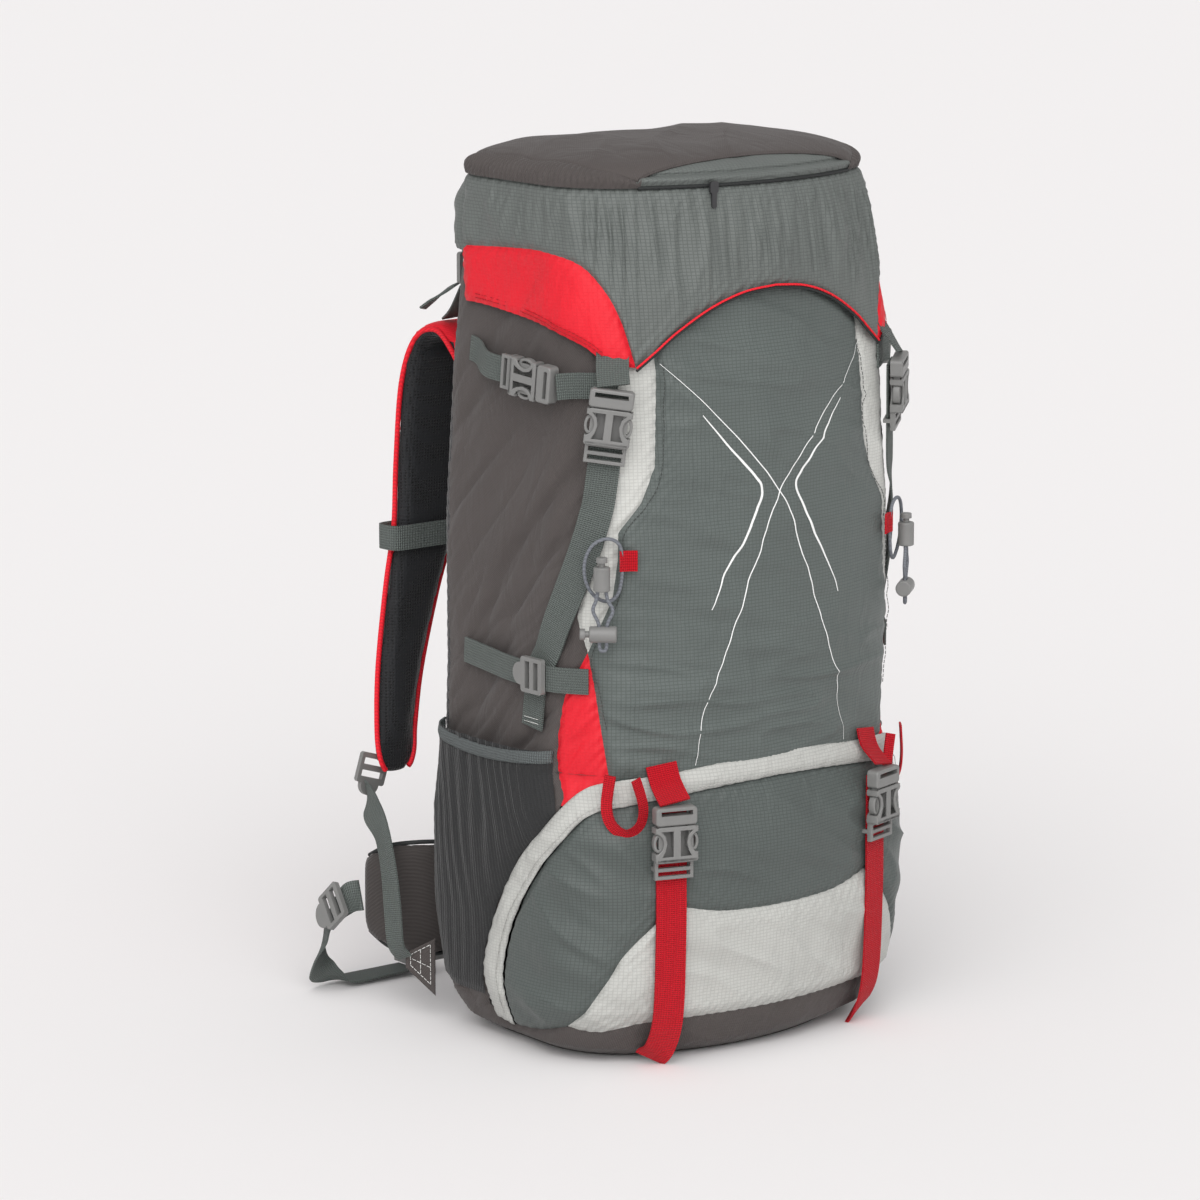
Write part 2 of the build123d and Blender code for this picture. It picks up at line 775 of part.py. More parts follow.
def cord_tube(name, route, spot):
    """A round cord along straight runs joined by arcs as large as the runs allow."""
    points = [Vector(*local_point(spot, *p)) for p in route]
    radii = []
    for before, here, after in zip(points, points[1:], points[2:]):
        turn = radians((here - before).get_angle(after - here))
        shorter = min((here - before).length, (after - here).length)
        radii.append(0.45 * shorter / tan(turn / 2))
    print(name, "radii", [round(r, 1) for r in radii])
    with BuildPart() as tube:
        with BuildLine():
            line = FilletPolyline(*points, radius=radii)
        with BuildSketch(Plane(line @ 0, z_dir=line % 0)):
            Circle(CORD / 2)
        sweep()
    section = CORD**2 * 3.14159 / 4
    print(name, "length", round(line.length, 1), "volume", round(tube.part.volume / section, 1), "sections")
    return tube.part


with BuildPart() as bungee_cords:
    add(cord_tube("bungee ring", RING_ROUTE, bungee_spot))
    add(cord_tube("bungee loop", LOOP_ROUTE, bungee_spot))
save_pair(bungee_cords, "bungee_cords")


# ---------------------------------------------------------------- lid zip slider

ZIP_Z = 684
ZIP_AWAY = 4
ZIP_TURN = 11
lid_half, lid_front, _ = size_at(LID_STATIONS, ZIP_Z)
LID_ARC = (lid_half**2 + FRONT_DOME**2) / (2 * FRONT_DOME)
ZIP_CENTRE_Y = lid_front + LID_ARC
print("lid zip axis at y", round(ZIP_CENTRE_Y, 2))
zip_face = Vector(-sin(radians(ZIP_TURN)), -cos(radians(ZIP_TURN)), 0)
zip_point = Vector(0, ZIP_CENTRE_Y, ZIP_Z) + zip_face * (LID_ARC + ZIP_AWAY)

with BuildPart() as lid_zip_slider:
    with BuildSketch(Plane(zip_point, x_dir=(0, 0, 1), z_dir=zip_face)):
        RectangleRounded(9, 7, 2)
        with Locations((-9, 0)):
            RectangleRounded(14, 4, 1.8)
    extrude(amount=2.6)
save(lid_zip_slider, "lid_zip_slider")


# ---------------------------------------------------------------- harness

OUT = (0, 1, 0)

with BuildPart() as haul_loop:
    add(
        ribbon(
            [
                ((-21, 108.5, 528), OUT),
                ((-21, 108.5, 506), OUT),
                ((-15, 108.5, 493), OUT),
                ((0, 108.5, 487), OUT),
                ((15, 108.5, 493), OUT),
                ((21, 108.5, 506), OUT),
                ((21, 108.5, 528), OUT),
            ],
            12,
            3,
        )
    )
save(haul_loop, "haul_loop")

# Shoulder strap: middle of the strap, the way its outside faces, width and thickness.
SHOULDER_STRAP = (
    ((-92, 112, 512), (0, -0.87, 0.5), 50, 9),
    ((-96, 122, 538), (0, -0.72, 0.69), 56, 11),
    ((-99, 139, 552), (0, 0, 1), 60, 12),
    ((-102, 158, 541), (0, 0.75, 0.66), 64, 12),
    ((-104, 171, 505), (0, 0.97, 0.25), 66, 12),
    ((-104, 179, 440), (0, 1, 0.06), 66, 12),
    ((-106, 183, 385), (-0.05, 1, 0), 64, 12),
    ((-116, 186, 335), (-0.08, 1, 0), 58, 12),
    ((-127, 189, 270), (-0.1, 1, 0), 50, 12),
    ((-138, 191, 206), (-0.1, 1, 0), 40, 9),
)

with BuildPart() as shoulder_strap:
    add(
        ribbon(
            [(spot, face) for spot, face, _, _ in SHOULDER_STRAP],
            [width for _, _, width, _ in SHOULDER_STRAP],
            [thick for _, _, _, thick in SHOULDER_STRAP],
        )
    )
save_pair(shoulder_strap, "shoulder_strap")

with BuildPart() as load_lifters:
    add(
        ribbon(
            [
                ((LIFTER_X, 103.5, 592), (0, 0.9, 0.43)),
                ((-114, 122, 572), (0, 0.75, 0.66)),
                ((-108, 141, 560.5), (0, 0.4, 0.9)),
            ],
            16,
            WEB,
        )
    )
save_both(load_lifters, "load_lifters")

STERNUM_Z = 380
STERNUM_Y = 193.5
BAND_Y = 171
STERNUM_WEB_WIDTH = 20
sternum_plane = Plane((-6, STERNUM_Y, STERNUM_Z), x_dir=(1, 0, 0), z_dir=(0, 1, 0))


def sternum_band(side):
    """The stretch of the sternum strap that wraps a shoulder strap, on one side."""
    return [
        ((side * 78, BAND_Y, STERNUM_Z), (0, -1, 0)),
        ((side * 139, BAND_Y, STERNUM_Z), (0, -1, 0)),
        ((side * 145, 183, STERNUM_Z), (side, 0, 0)),
        ((side * 139, STERNUM_Y, STERNUM_Z), (0, 1, 0)),
        ((side * 60, STERNUM_Y, STERNUM_Z), (0, 1, 0)),
    ]


with BuildPart() as left_sternum_webbing:
    add(
        ribbon(
            sternum_band(-1)
            + [
                ((-44, STERNUM_Y + 2, STERNUM_Z), (0, 1, 0)),
                (on_plane(sternum_plane, PLUG_TAIL, PLUG_MIDDLE), (0, 1, 0)),
            ],
            STERNUM_WEB_WIDTH,
            WEB,
        )
    )
save(left_sternum_webbing, "left_sternum_webbing")

with BuildPart() as right_sternum_webbing:
    add(ribbon(sternum_band(1) + [((-14, STERNUM_Y, STERNUM_Z), (0, 1, 0))], STERNUM_WEB_WIDTH, WEB))
save(right_sternum_webbing, "right_sternum_webbing")

with BuildPart() as sternum_plug:
    place(buckle_plug(STERNUM_WEB_WIDTH), sternum_plane)
save(sternum_plug, "sternum_plug")

with BuildPart() as sternum_socket:
    place(buckle_socket(STERNUM_WEB_WIDTH), sternum_plane)
save(sternum_socket, "sternum_socket")

STRAP_LOCK = (-150, 193, 186)

with BuildPart() as strap_lock:
    place(ladder_lock(20), Plane(STRAP_LOCK, x_dir=(-0.3, 0, -0.95), z_dir=(0, 1, 0)))
save_pair(strap_lock, "strap_lock")

with BuildPart() as lower_webbing:
    add(
        ribbon(
            [
                ((-158, 192, 170), (-0.2, 0.97, 0.1)),
                ((-168, 168, 158), (-0.5, 0.6, 0.6)),
                ((-176, 140, 146), (-0.9, 0.2, 0.3)),
                ((-182, 122, 120), (-1, 0, 0.1)),
                ((-188, 116, 90), (-1, -0.1, 0)),
                ((-188, 112, 62), (-1, -0.1, -0.2)),
                ((-182, 108, 51), (-0.8, -0.2, -0.6)),
            ],
            20,
            WEB,
        )
    )
save_both(lower_webbing, "lower_webbing")

with BuildPart() as corner_tabs:
    with BuildSketch(Plane((-160, 96.5, 46), x_dir=(-0.8, 0.6, 0), z_dir=(0.6, 0.8, 0))):
        with BuildLine():
            Polyline((0, -28), (0, 20), (24, 8), (24, -4), (0, -28))
        make_face()
    extrude(amount=2, both=True)
save_both(corner_tabs, "corner_tabs")


# ---------------------------------------------------------------- hip belt

# Hip wing: middle, the way its outer side faces, height and thickness.
HIP_WING = (
    ((-98, 113, 92), (0, -1, 0), 84, 11),
    ((-132, 115, 92), (-0.1, -1, 0), 96, 13),
    ((-156, 126, 92), (-0.6, -0.8, 0), 98, 13),
    ((-170, 146, 92), (-0.9, -0.4, 0), 88, 13),
    ((-176, 170, 92), (-1, -0.1, 0), 60, 10),
)
HIP_WEB_WIDTH = 25
HIP_REST = 3.6  # height of the belt's loose end over the ground
HIP_END_Y = 224

with BuildPart() as hip_wing:
    add(
        ribbon(
            [(spot, face) for spot, face, _, _ in HIP_WING],
            [height for _, _, height, _ in HIP_WING],
            [thick for _, _, _, thick in HIP_WING],
        )
    )
save_pair(hip_wing, "hip_wing")

with BuildPart() as hip_webbing:
    add(
        ribbon(
            [
                ((-177, 175.5, 88), (-1, 0, 0)),
                ((-182, 186, 84), (-1, 0.1, 0)),
                ((-186, 204, 66), (-0.9, 0.5, 0.2)),
                ((-186, 214, 47), (-0.85, 0.5, 0.15)),
                ((-187, 221, 29), (-0.6, 0.75, 0.3)),
                ((-183, 224, 15), (-0.25, 0.7, 0.65)),
                ((-171, 225, 7), (0, 0.45, 0.9)),
                ((-158, HIP_END_Y, HIP_REST), (0, 0, 1)),
                ((-96, HIP_END_Y, HIP_REST), (0, 0, 1)),
            ],
            HIP_WEB_WIDTH,
            WEB,
        )
    )
save_pair(hip_webbing, "hip_webbing")

with BuildPart() as hip_adjuster:
    adjuster_plane = Plane((-187, 196, 76), x_dir=(-0.2, 0.66, -0.72), z_dir=(-0.96, 0.02, 0.28))
    place(ladder_lock(HIP_WEB_WIDTH), adjuster_plane)
save_pair(hip_adjuster, "hip_adjuster")

with BuildPart() as hip_plug:
    place(buckle_plug(HIP_WEB_WIDTH), Plane((-84, HIP_END_Y, HIP_REST), x_dir=(1, 0, 0), z_dir=(0, 0, 1)))
save(hip_plug, "hip_plug")

with BuildPart() as hip_socket:
    place(buckle_socket(HIP_WEB_WIDTH), Plane((84, HIP_END_Y, HIP_REST), x_dir=(1, 0, 0), z_dir=(0, 0, 1)))
save(hip_socket, "hip_socket")
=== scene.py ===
"""Hiking backpack: fabrics, webbing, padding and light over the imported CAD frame."""

from bisect import bisect_left
from functools import lru_cache
from math import asin, atan2, cos, exp, pi, radians, sin, sqrt

import bmesh
import bpy
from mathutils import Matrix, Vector, noise


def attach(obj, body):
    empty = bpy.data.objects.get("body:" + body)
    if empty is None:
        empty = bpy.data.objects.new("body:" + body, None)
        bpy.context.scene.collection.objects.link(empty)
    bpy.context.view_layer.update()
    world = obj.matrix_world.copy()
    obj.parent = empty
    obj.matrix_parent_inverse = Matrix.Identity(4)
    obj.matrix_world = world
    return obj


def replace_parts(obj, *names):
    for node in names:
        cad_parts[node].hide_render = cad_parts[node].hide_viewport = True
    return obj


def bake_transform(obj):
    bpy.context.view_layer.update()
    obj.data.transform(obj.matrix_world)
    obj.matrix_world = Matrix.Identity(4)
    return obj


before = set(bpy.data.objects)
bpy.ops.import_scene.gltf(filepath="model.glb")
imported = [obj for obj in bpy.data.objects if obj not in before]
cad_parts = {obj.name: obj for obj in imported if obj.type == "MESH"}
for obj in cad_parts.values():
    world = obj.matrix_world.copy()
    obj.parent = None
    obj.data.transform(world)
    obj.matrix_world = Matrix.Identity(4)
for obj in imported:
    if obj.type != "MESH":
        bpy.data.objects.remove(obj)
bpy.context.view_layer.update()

MM = 0.001

# ---------------------------------------------------------------- camera, light, floor

AZIMUTH, ELEVATION = radians(-38), radians(11.3)
DISTANCE = 3.994
LENS = 150
backwards = Vector((sin(AZIMUTH) * cos(ELEVATION), -cos(AZIMUTH) * cos(ELEVATION), sin(ELEVATION)))
look_at = Vector((-0.0417, 0.0326, 0.339))

camera_data = bpy.data.cameras.new("camera")
camera_data.lens = LENS
camera_data.sensor_width = 36
camera = bpy.data.objects.new("camera", camera_data)
bpy.context.scene.collection.objects.link(camera)
camera.location = look_at + backwards * DISTANCE
camera.rotation_euler = backwards.to_track_quat("Z", "Y").to_euler()
bpy.context.scene.camera = camera


# A studio of soft light: an even dome with one broad bright patch, so the floor is lit evenly too.
DOME_LIGHT = 0.53
PATCH_LIGHT = 3.9
PATCH_WIDTH = 7  # larger is narrower
PATCH_SIDE = Vector((-0.50, -0.62, 0.60)).normalized()

world = bpy.data.worlds.new("studio")
world.use_nodes = True
sky = world.node_tree
where = sky.nodes.new("ShaderNodeTexCoord").outputs["Generated"]
facing = sky.nodes.new("ShaderNodeVectorMath")
facing.operation = "DOT_PRODUCT"
facing.inputs[1].default_value = PATCH_SIDE
sky.links.new(where, facing.inputs[0])
lit_side = sky.nodes.new("ShaderNodeMath")
lit_side.operation = "MAXIMUM"
sky.links.new(facing.outputs["Value"], lit_side.inputs[0])
lit_side.inputs[1].default_value = 0
patch = sky.nodes.new("ShaderNodeMath")
patch.operation = "POWER"
sky.links.new(lit_side.outputs[0], patch.inputs[0])
patch.inputs[1].default_value = PATCH_WIDTH
power = sky.nodes.new("ShaderNodeMath")
power.operation = "MULTIPLY_ADD"
sky.links.new(patch.outputs[0], power.inputs[0])
power.inputs[1].default_value = PATCH_LIGHT
power.inputs[2].default_value = DOME_LIGHT
sky.nodes["Background"].inputs["Color"].default_value = (1.0, 0.992, 0.992, 1)
sky.links.new(power.outputs[0], sky.nodes["Background"].inputs["Strength"])
bpy.context.scene.world = world
bpy.context.scene.view_settings.view_transform = "Standard"


# ---------------------------------------------------------------- materials


class Shader:
    """A material's node tree, built one node at a time."""

    def __init__(self, name):
        self.material = bpy.data.materials.new(name)
        self.material.use_nodes = True
        self.nodes = self.material.node_tree.nodes
        self.surface = self.nodes["Principled BSDF"]

    def node(self, kind, settings=None, **inputs):
        """Add a node; inputs are values or other nodes' outputs, with _ for a space."""
        made = self.nodes.new(kind)
        for key, value in (settings or {}).items():
            setattr(made, key, value)
        for key, value in inputs.items():
            self.put(made, key.replace("_", " "), value)
        return made

    def put(self, made, key, value):
        socket = made.inputs[int(key[1:])] if key[0] == "i" and key[1:].isdigit() else made.inputs[key]
        if isinstance(value, bpy.types.NodeSocket):
            self.material.node_tree.links.new(value, socket)
        else:
            socket.default_value = value

    def math(self, operation, first, second=0.5):
        return self.node("ShaderNodeMath", {"operation": operation}, i0=first, i1=second).outputs[0]

    def mix(self, factor, first, second):
        made = self.node("ShaderNodeMix", {"data_type": "RGBA"})
        self.put(made, "i0", factor)
        self.put(made, "i6", first)
        self.put(made, "i7", second)
        return made.outputs[2]

    def spots(self, vector, scale, detail=2.0):
        return self.node("ShaderNodeTexNoise", Vector=vector, Scale=scale, Detail=detail).outputs["Fac"]

    def wrinkles(self, vector, depth):
        """A bump of small creases, one to three centimetres apart, for the next bump to sit on."""
        drawn = self.node(
            "ShaderNodeMapping", Vector=vector, Rotation=(0, 0, 0.6), Scale=(30, 13, 30)
        ).outputs[0]
        broad = self.node(
            "ShaderNodeTexNoise", {"noise_dimensions": "3D"}, Vector=drawn, Scale=1.0, Detail=3.0,
            Roughness=0.55, Distortion=0.6,
        ).outputs["Fac"]
        ridge = self.math("ABSOLUTE", self.math("SUBTRACT", broad, 0.5), 0.0)
        return self.node("ShaderNodeBump", Strength=0.8, Distance=depth, Height=ridge).outputs["Normal"]

    def finish(self, color, height, strength, roughness, distance=0.0006, specular=0.35, sheen=0.0,
               under=None):
        """Join colour, bump and roughness to the surface; under is a bump below this one."""
        bump = self.node("ShaderNodeBump", Strength=strength, Distance=distance, Height=height)
        if under:
            self.put(bump, "Normal", under)
        self.put(self.surface, "Base Color", color)
        self.put(self.surface, "Normal", bump.outputs["Normal"])
        self.put(self.surface, "Roughness", roughness)
        self.surface.inputs["Specular IOR Level"].default_value = specular
        if sheen:
            self.surface.inputs["Sheen Weight"].default_value = sheen
            self.surface.inputs["Sheen Roughness"].default_value = 0.4
        return self.material


def shade(color, factor):
    return (*(min(1, part * factor) for part in color[:3]), 1)


def ripstop(name, color, roughness=0.5, contrast=0.55, sheen=0.06):
    """Coated nylon with a small grid of thicker threads. Its map is in metres."""
    s = Shader(name)
    where = s.node("ShaderNodeTexCoord").outputs["UV"]
    grid = s.node(
        "ShaderNodeTexBrick",
        {"offset": 0.0},
        Vector=where,
        Scale=1.0,
        Mortar_Size=0.00042,
        Mortar_Smooth=0.6,
        Brick_Width=0.0034,
        Row_Height=0.0026,
    ).outputs["Fac"]
    threads = s.spots(where, 1500, 1.0)
    clouds = s.spots(where, 14)
    base = s.mix(clouds, shade(color, 0.86), shade(color, 1.14))
    base = s.mix(s.math("MULTIPLY", grid, contrast), base, shade(color, 0.45))
    base = s.mix(s.math("MULTIPLY", threads, 0.25), base, shade(color, 0.5))
    height = s.math("ADD", s.math("MULTIPLY", grid, 0.8), s.math("MULTIPLY", threads, 0.3))
    rough = s.math("ADD", s.math("MULTIPLY", clouds, 0.14), roughness - 0.07)
    return s.finish(base, height, 0.35, rough, sheen=sheen, under=s.wrinkles(where, 0.0042))


def twill(name, color, pitch=0.0015, roughness=0.82, lean=35, contrast=0.45):
    """A weave of fine slanted ribs with heathered threads."""
    s = Shader(name)
    where = s.node("ShaderNodeTexCoord").outputs["UV"]
    turned = s.node("ShaderNodeMapping", Vector=where, Rotation=(0, 0, radians(lean))).outputs[0]
    ribs = s.node(
        "ShaderNodeTexWave", {"bands_direction": "X"}, Vector=turned, Scale=pi / 10 / pitch, Distortion=1.4,
        Detail=1.0, Detail_Scale=2.0,
    ).outputs["Fac"]
    threads = s.spots(where, 900, 2.0)
    clouds = s.spots(where, 16)
    base = s.mix(clouds, shade(color, 0.85), shade(color, 1.15))
    base = s.mix(s.math("MULTIPLY", ribs, contrast), base, shade(color, 1.5))
    base = s.mix(s.math("MULTIPLY", threads, 0.5), base, shade(color, 0.6))
    height = s.math("ADD", ribs, threads)
    return s.finish(base, height, 0.4, roughness, sheen=0.1, under=s.wrinkles(where, 0.006))


def webbing(name, color, roughness=0.62):
    """Woven tape: fine ribs across it and faint warp lines along it, with its map along and across in metres.
    """
    s = Shader(name)
    where = s.node("ShaderNodeTexCoord").outputs["UV"]
    ribs = s.node(
        "ShaderNodeTexWave", {"bands_direction": "X"}, Vector=where, Scale=pi / 10 / 0.0016, Distortion=0.5,
        Detail=1.0, Detail_Scale=3.0,
    ).outputs["Fac"]
    warp = s.node(
        "ShaderNodeTexWave", {"bands_direction": "Y"}, Vector=where, Scale=pi / 10 / 0.0021, Distortion=0.3,
    ).outputs["Fac"]
    clouds = s.spots(where, 60)
    base = s.mix(clouds, shade(color, 0.85), shade(color, 1.15))
    base = s.mix(s.math("MULTIPLY", ribs, 0.6), shade(color, 0.5), base)
    base = s.mix(s.math("MULTIPLY", warp, 0.25), base, shade(color, 1.3))
    height = s.math("ADD", s.math("MULTIPLY", ribs, 0.9), s.math("MULTIPLY", warp, 0.4))
    return s.finish(base, height, 1.0, roughness, distance=0.001, specular=0.2, sheen=0.03)


def spacer_mesh(name, color, pitch=0.0026):
    """Open knitted mesh: dark holes between raised threads, in the object's own coordinates."""
    s = Shader(name)
    where = s.node("ShaderNodeTexCoord").outputs["Object"]
    cells = s.node("ShaderNodeTexVoronoi", {"feature": "F1"}, Vector=where, Scale=1 / pitch, Randomness=0.25)
    holes = s.math("LESS_THAN", cells.outputs["Distance"], 0.36)
    clouds = s.spots(where, 30)
    base = s.mix(clouds, shade(color, 0.8), shade(color, 1.3))
    base = s.mix(holes, base, shade(color, 0.25))
    height = s.math("SUBTRACT", cells.outputs["Distance"], holes)
    return s.finish(base, height, 0.8, 0.7, distance=0.0009, sheen=0.2)


def knit(name, color):
    """Fine stretch mesh with upright ribs. Its map is in metres."""
    s = Shader(name)
    where = s.node("ShaderNodeTexCoord").outputs["UV"]
    ribs = s.node(
        "ShaderNodeTexWave", {"bands_direction": "X"}, Vector=where, Scale=pi / 10 / 0.0030, Distortion=1.2,
        Detail=1.0, Detail_Scale=1.5,
    ).outputs["Fac"]
    cells = s.node("ShaderNodeTexVoronoi", Vector=where, Scale=700, Randomness=0.4).outputs["Distance"]
    clouds = s.spots(where, 20)
    base = s.mix(clouds, shade(color, 0.8), shade(color, 1.2))
    base = s.mix(s.math("MULTIPLY", ribs, 0.55), base, shade(color, 1.7))
    base = s.mix(s.math("MULTIPLY", cells, 0.5), shade(color, 0.5), base)
    return s.finish(base, s.math("ADD", ribs, cells), 0.6, 0.78, sheen=0.15)


def pad_cloth(name, color, pitch=0.0016):
    """Twill for remeshed pads, in the object's own coordinates."""
    s = Shader(name)
    where = s.node("ShaderNodeTexCoord").outputs["Object"]
    ribs = s.node(
        "ShaderNodeTexWave", {"bands_direction": "DIAGONAL"}, Vector=where, Scale=pi / 10 / pitch,
        Distortion=1.0, Detail=1.0,
    ).outputs["Fac"]
    clouds = s.spots(where, 18)
    base = s.mix(clouds, shade(color, 0.85), shade(color, 1.15))
    base = s.mix(s.math("MULTIPLY", ribs, 0.4), base, shade(color, 1.5))
    return s.finish(base, ribs, 0.4, 0.8, sheen=0.15)


def plastic(name, color, roughness=0.42):
    """Moulded acetal: fine grain, slightly uneven gloss and scuffed colour."""
    s = Shader(name)
    where = s.node("ShaderNodeTexCoord").outputs["Object"]
    grain = s.spots(where, 1400, 1.0)
    clouds = s.spots(where, 90)
    base = s.mix(clouds, shade(color, 0.9), shade(color, 1.1))
    rough = s.math("ADD", s.math("MULTIPLY", clouds, 0.2), roughness - 0.1)
    return s.finish(base, grain, 0.12, rough, distance=0.0002, specular=0.5)


def thread(name, color):
    """Stitching thread and braided cord covers."""
    s = Shader(name)
    where = s.node("ShaderNodeTexCoord").outputs["Object"]
    twist = s.node(
        "ShaderNodeTexWave", {"bands_direction": "DIAGONAL"}, Vector=where, Scale=pi / 10 / 0.0015,
        Distortion=0.4,
    ).outputs["Fac"]
    base = s.mix(twist, shade(color, 0.8), shade(color, 1.15))
    return s.finish(base, twist, 0.25, 0.65, distance=0.0003)


GREY_GREEN = (0.110, 0.129, 0.122)
SLATE = (0.132, 0.146, 0.138)
BROWN_GREY = (0.074, 0.064, 0.061)
LIGHT = (0.58, 0.585, 0.555)
RED = (0.74, 0.008, 0.022)
WEB_GREY = (0.170, 0.195, 0.182)
BLACK = (0.014, 0.015, 0.017)

front_cloth = ripstop("front_ripstop", GREY_GREEN)
lid_cloth = ripstop("lid_ripstop", SLATE)
light_cloth = ripstop("light_ripstop", LIGHT, 0.45, 0.3)
lower_light_cloth = ripstop("lower_light_ripstop", shade(LIGHT, 0.86), 0.45, 0.3)
lower_cloth = ripstop("lower_ripstop", shade(GREY_GREEN, 0.84))
red_cloth = ripstop("red_ripstop", RED, 0.55, 0.06, 0)
side_cloth = twill("side_twill", BROWN_GREY)
pocket_cloth = knit("pocket_knit", (0.030, 0.031, 0.032))
lining_cloth = twill("lining_taffeta", (0.06, 0.065, 0.064), 0.0011, 0.6)
grey_webbing = webbing("grey_webbing", WEB_GREY)
red_webbing = webbing("red_webbing", RED)
grey_tape = webbing("grey_tape", (0.16, 0.18, 0.18))
black_mesh = spacer_mesh("black_spacer", BLACK)
red_pad = pad_cloth("red_pad_cloth", RED)
wing_cloth = pad_cloth("wing_cloth", (0.045, 0.039, 0.037))
buckle_plastic = plastic("buckle_acetal", (0.185, 0.185, 0.18))
dark_plastic = plastic("dark_acetal", (0.03, 0.03, 0.032))
red_piping = thread("red_piping", RED)
white_thread = thread("white_thread", (0.7, 0.7, 0.68))
dark_thread = thread("dark_thread", (0.02, 0.022, 0.022))
grey_cord = thread("grey_cord", (0.15, 0.16, 0.18))
white_print = plastic("white_print", (0.82, 0.83, 0.82), 0.5)


# ---------------------------------------------------------------- the bag's surface, in millimetres

# Height, half width, front and back, as in the CAD frame.
BAG = (
    (0, 136, -110, 76),
    (12, 154, -127, 90),
    (45, 170, -141, 100),
    (110, 175, -148, 104),
    (185, 174, -147, 104),
    (232, 166, -137, 104),
    (300, 164, -138, 104),
    (420, 164, -140, 104),
    (540, 158, -134, 101),
    (600, 153, -123, 98),
    (625, 149, -117, 96),
)
LID = (
    (540, 164, -141, 106),
    (600, 159, -134, 104),
    (650, 153, -125, 101),
    (685, 148, -117, 96),
    (700, 138, -106, 87),
)
DOME = 48
FRONT_CORNER = 70
BACK_CORNER = 48


def between(table, z):
    """Half width, front and back at a height."""
    z = min(max(z, table[0][0]), table[-1][0])
    for low, high in zip(table, table[1:]):
        if z <= high[0]:
            part = (z - low[0]) / (high[0] - low[0])
            return tuple(a + part * (b - a) for a, b in zip(low[1:], high[1:]))
    return table[-1][1:]


class Section:
    """One outline of the bag. Distances run from the middle of the front, left positive."""

    def __init__(self, table, z):
        self.half, front, self.back = between(table, z)
        self.radius = (self.half**2 + DOME**2) / (2 * DOME)
        self.centre = front + self.radius
        self.corner_x = self.half - FRONT_CORNER
        self.corner_y = self.centre - sqrt((self.radius - FRONT_CORNER) ** 2 - self.corner_x**2)
        self.turn = atan2(self.corner_x, self.centre - self.corner_y)
        self.to_corner = self.radius * self.turn
        self.to_side = self.to_corner + FRONT_CORNER * (pi / 2 - self.turn)
        self.to_back_corner = self.to_side + self.back - BACK_CORNER - self.corner_y
        self.to_back = self.to_back_corner + BACK_CORNER * pi / 2
        self.total = self.to_back + self.half - BACK_CORNER

    def at(self, distance):
        """The point and the outward direction at a distance along the outline."""
        side = -1 if distance >= 0 else 1
        along = abs(distance)
        if along > self.total:
            along = 2 * self.total - along
            side = -side
        if along <= self.to_corner:
            angle = along / self.radius
            x, y = self.radius * sin(angle), self.centre - self.radius * cos(angle)
        elif along <= self.to_side:
            angle = self.turn + (along - self.to_corner) / FRONT_CORNER
            x, y = self.corner_x + FRONT_CORNER * sin(angle), self.corner_y - FRONT_CORNER * cos(angle)
        elif along <= self.to_back_corner:
            angle = pi / 2
            x, y = self.half, self.corner_y + along - self.to_side
        elif along <= self.to_back:
            angle = pi / 2 + (along - self.to_back_corner) / BACK_CORNER
            x = self.half - BACK_CORNER + BACK_CORNER * sin(angle)
            y = self.back - BACK_CORNER - BACK_CORNER * cos(angle)
        else:
            angle = pi
            x, y = self.half - BACK_CORNER - (along - self.to_back), self.back
        return (side * x, y), (side * sin(angle), -cos(angle))

    def at_y(self, y):
        """Distance along the outline where its left side or back corner reaches y."""
        beyond = y - (self.back - BACK_CORNER)
        if beyond <= 0:
            return self.to_side + y - self.corner_y
        return self.to_back_corner + BACK_CORNER * asin(min(1, beyond / BACK_CORNER))


@lru_cache(maxsize=None)
def section(table, tenths):
    return Section(table, tenths / 10)


def surface(table, distance, z, away):
    """A point over the bag's surface and the way the surface faces there."""
    (x, y), (face_x, face_y) = section(table, round(z * 10)).at(distance)
    return Vector((x + away * face_x, y + away * face_y, z)), Vector((face_x, face_y, 0))


# ---------------------------------------------------------------- curves and meshes


def smooth(points, count):
    """The same number of evenly spaced points on a smooth curve through these."""
    points = [Vector(p) for p in points]
    fine = []
    for index in range(len(points) - 1):
        before = points[max(index - 1, 0)]
        start, end = points[index], points[index + 1]
        after = points[min(index + 2, len(points) - 1)]
        for step in range(12):
            t = step / 12
            pull = (end - before) * 0.5
            push = (after - start) * 0.5
            fine.append(
                start * (2 * t**3 - 3 * t**2 + 1)
                + pull * (t**3 - 2 * t**2 + t)
                + end * (3 * t**2 - 2 * t**3)
                + push * (t**3 - t**2)
            )
    fine.append(points[-1])
    return evenly(fine, count)


def curve(points, count):
    """The same, as plain pairs."""
    return [tuple(p) for p in smooth(points, count)]


def evenly(points, count):
    """Evenly spaced points along straight runs."""
    points = [Vector(p) for p in points]
    marks = [0.0]
    for a, b in zip(points, points[1:]):
        marks.append(marks[-1] + (b - a).length)
    made = []
    for index in range(count):
        want = marks[-1] * index / (count - 1)
        at = min(max(bisect_left(marks, want), 1), len(marks) - 1)
        span = marks[at] - marks[at - 1]
        made.append(points[at - 1].lerp(points[at], (want - marks[at - 1]) / span if span else 0))
    return made


def at_heights(points, heights):
    """Distances along the bag at given heights, on a curve given from the top down."""
    made = []
    for z in heights:
        for (s_high, z_high), (s_low, z_low) in zip(points, points[1:]):
            if z >= z_low:
                break
        t = (z_high - z) / (z_high - z_low)
        made.append(s_high + min(max(t, 0), 1) * (s_low - s_high))
    return made


def falling(top, bottom, steps):
    """Evenly spaced heights from the top down."""
    return [top - (top - bottom) * i / steps for i in range(steps + 1)]


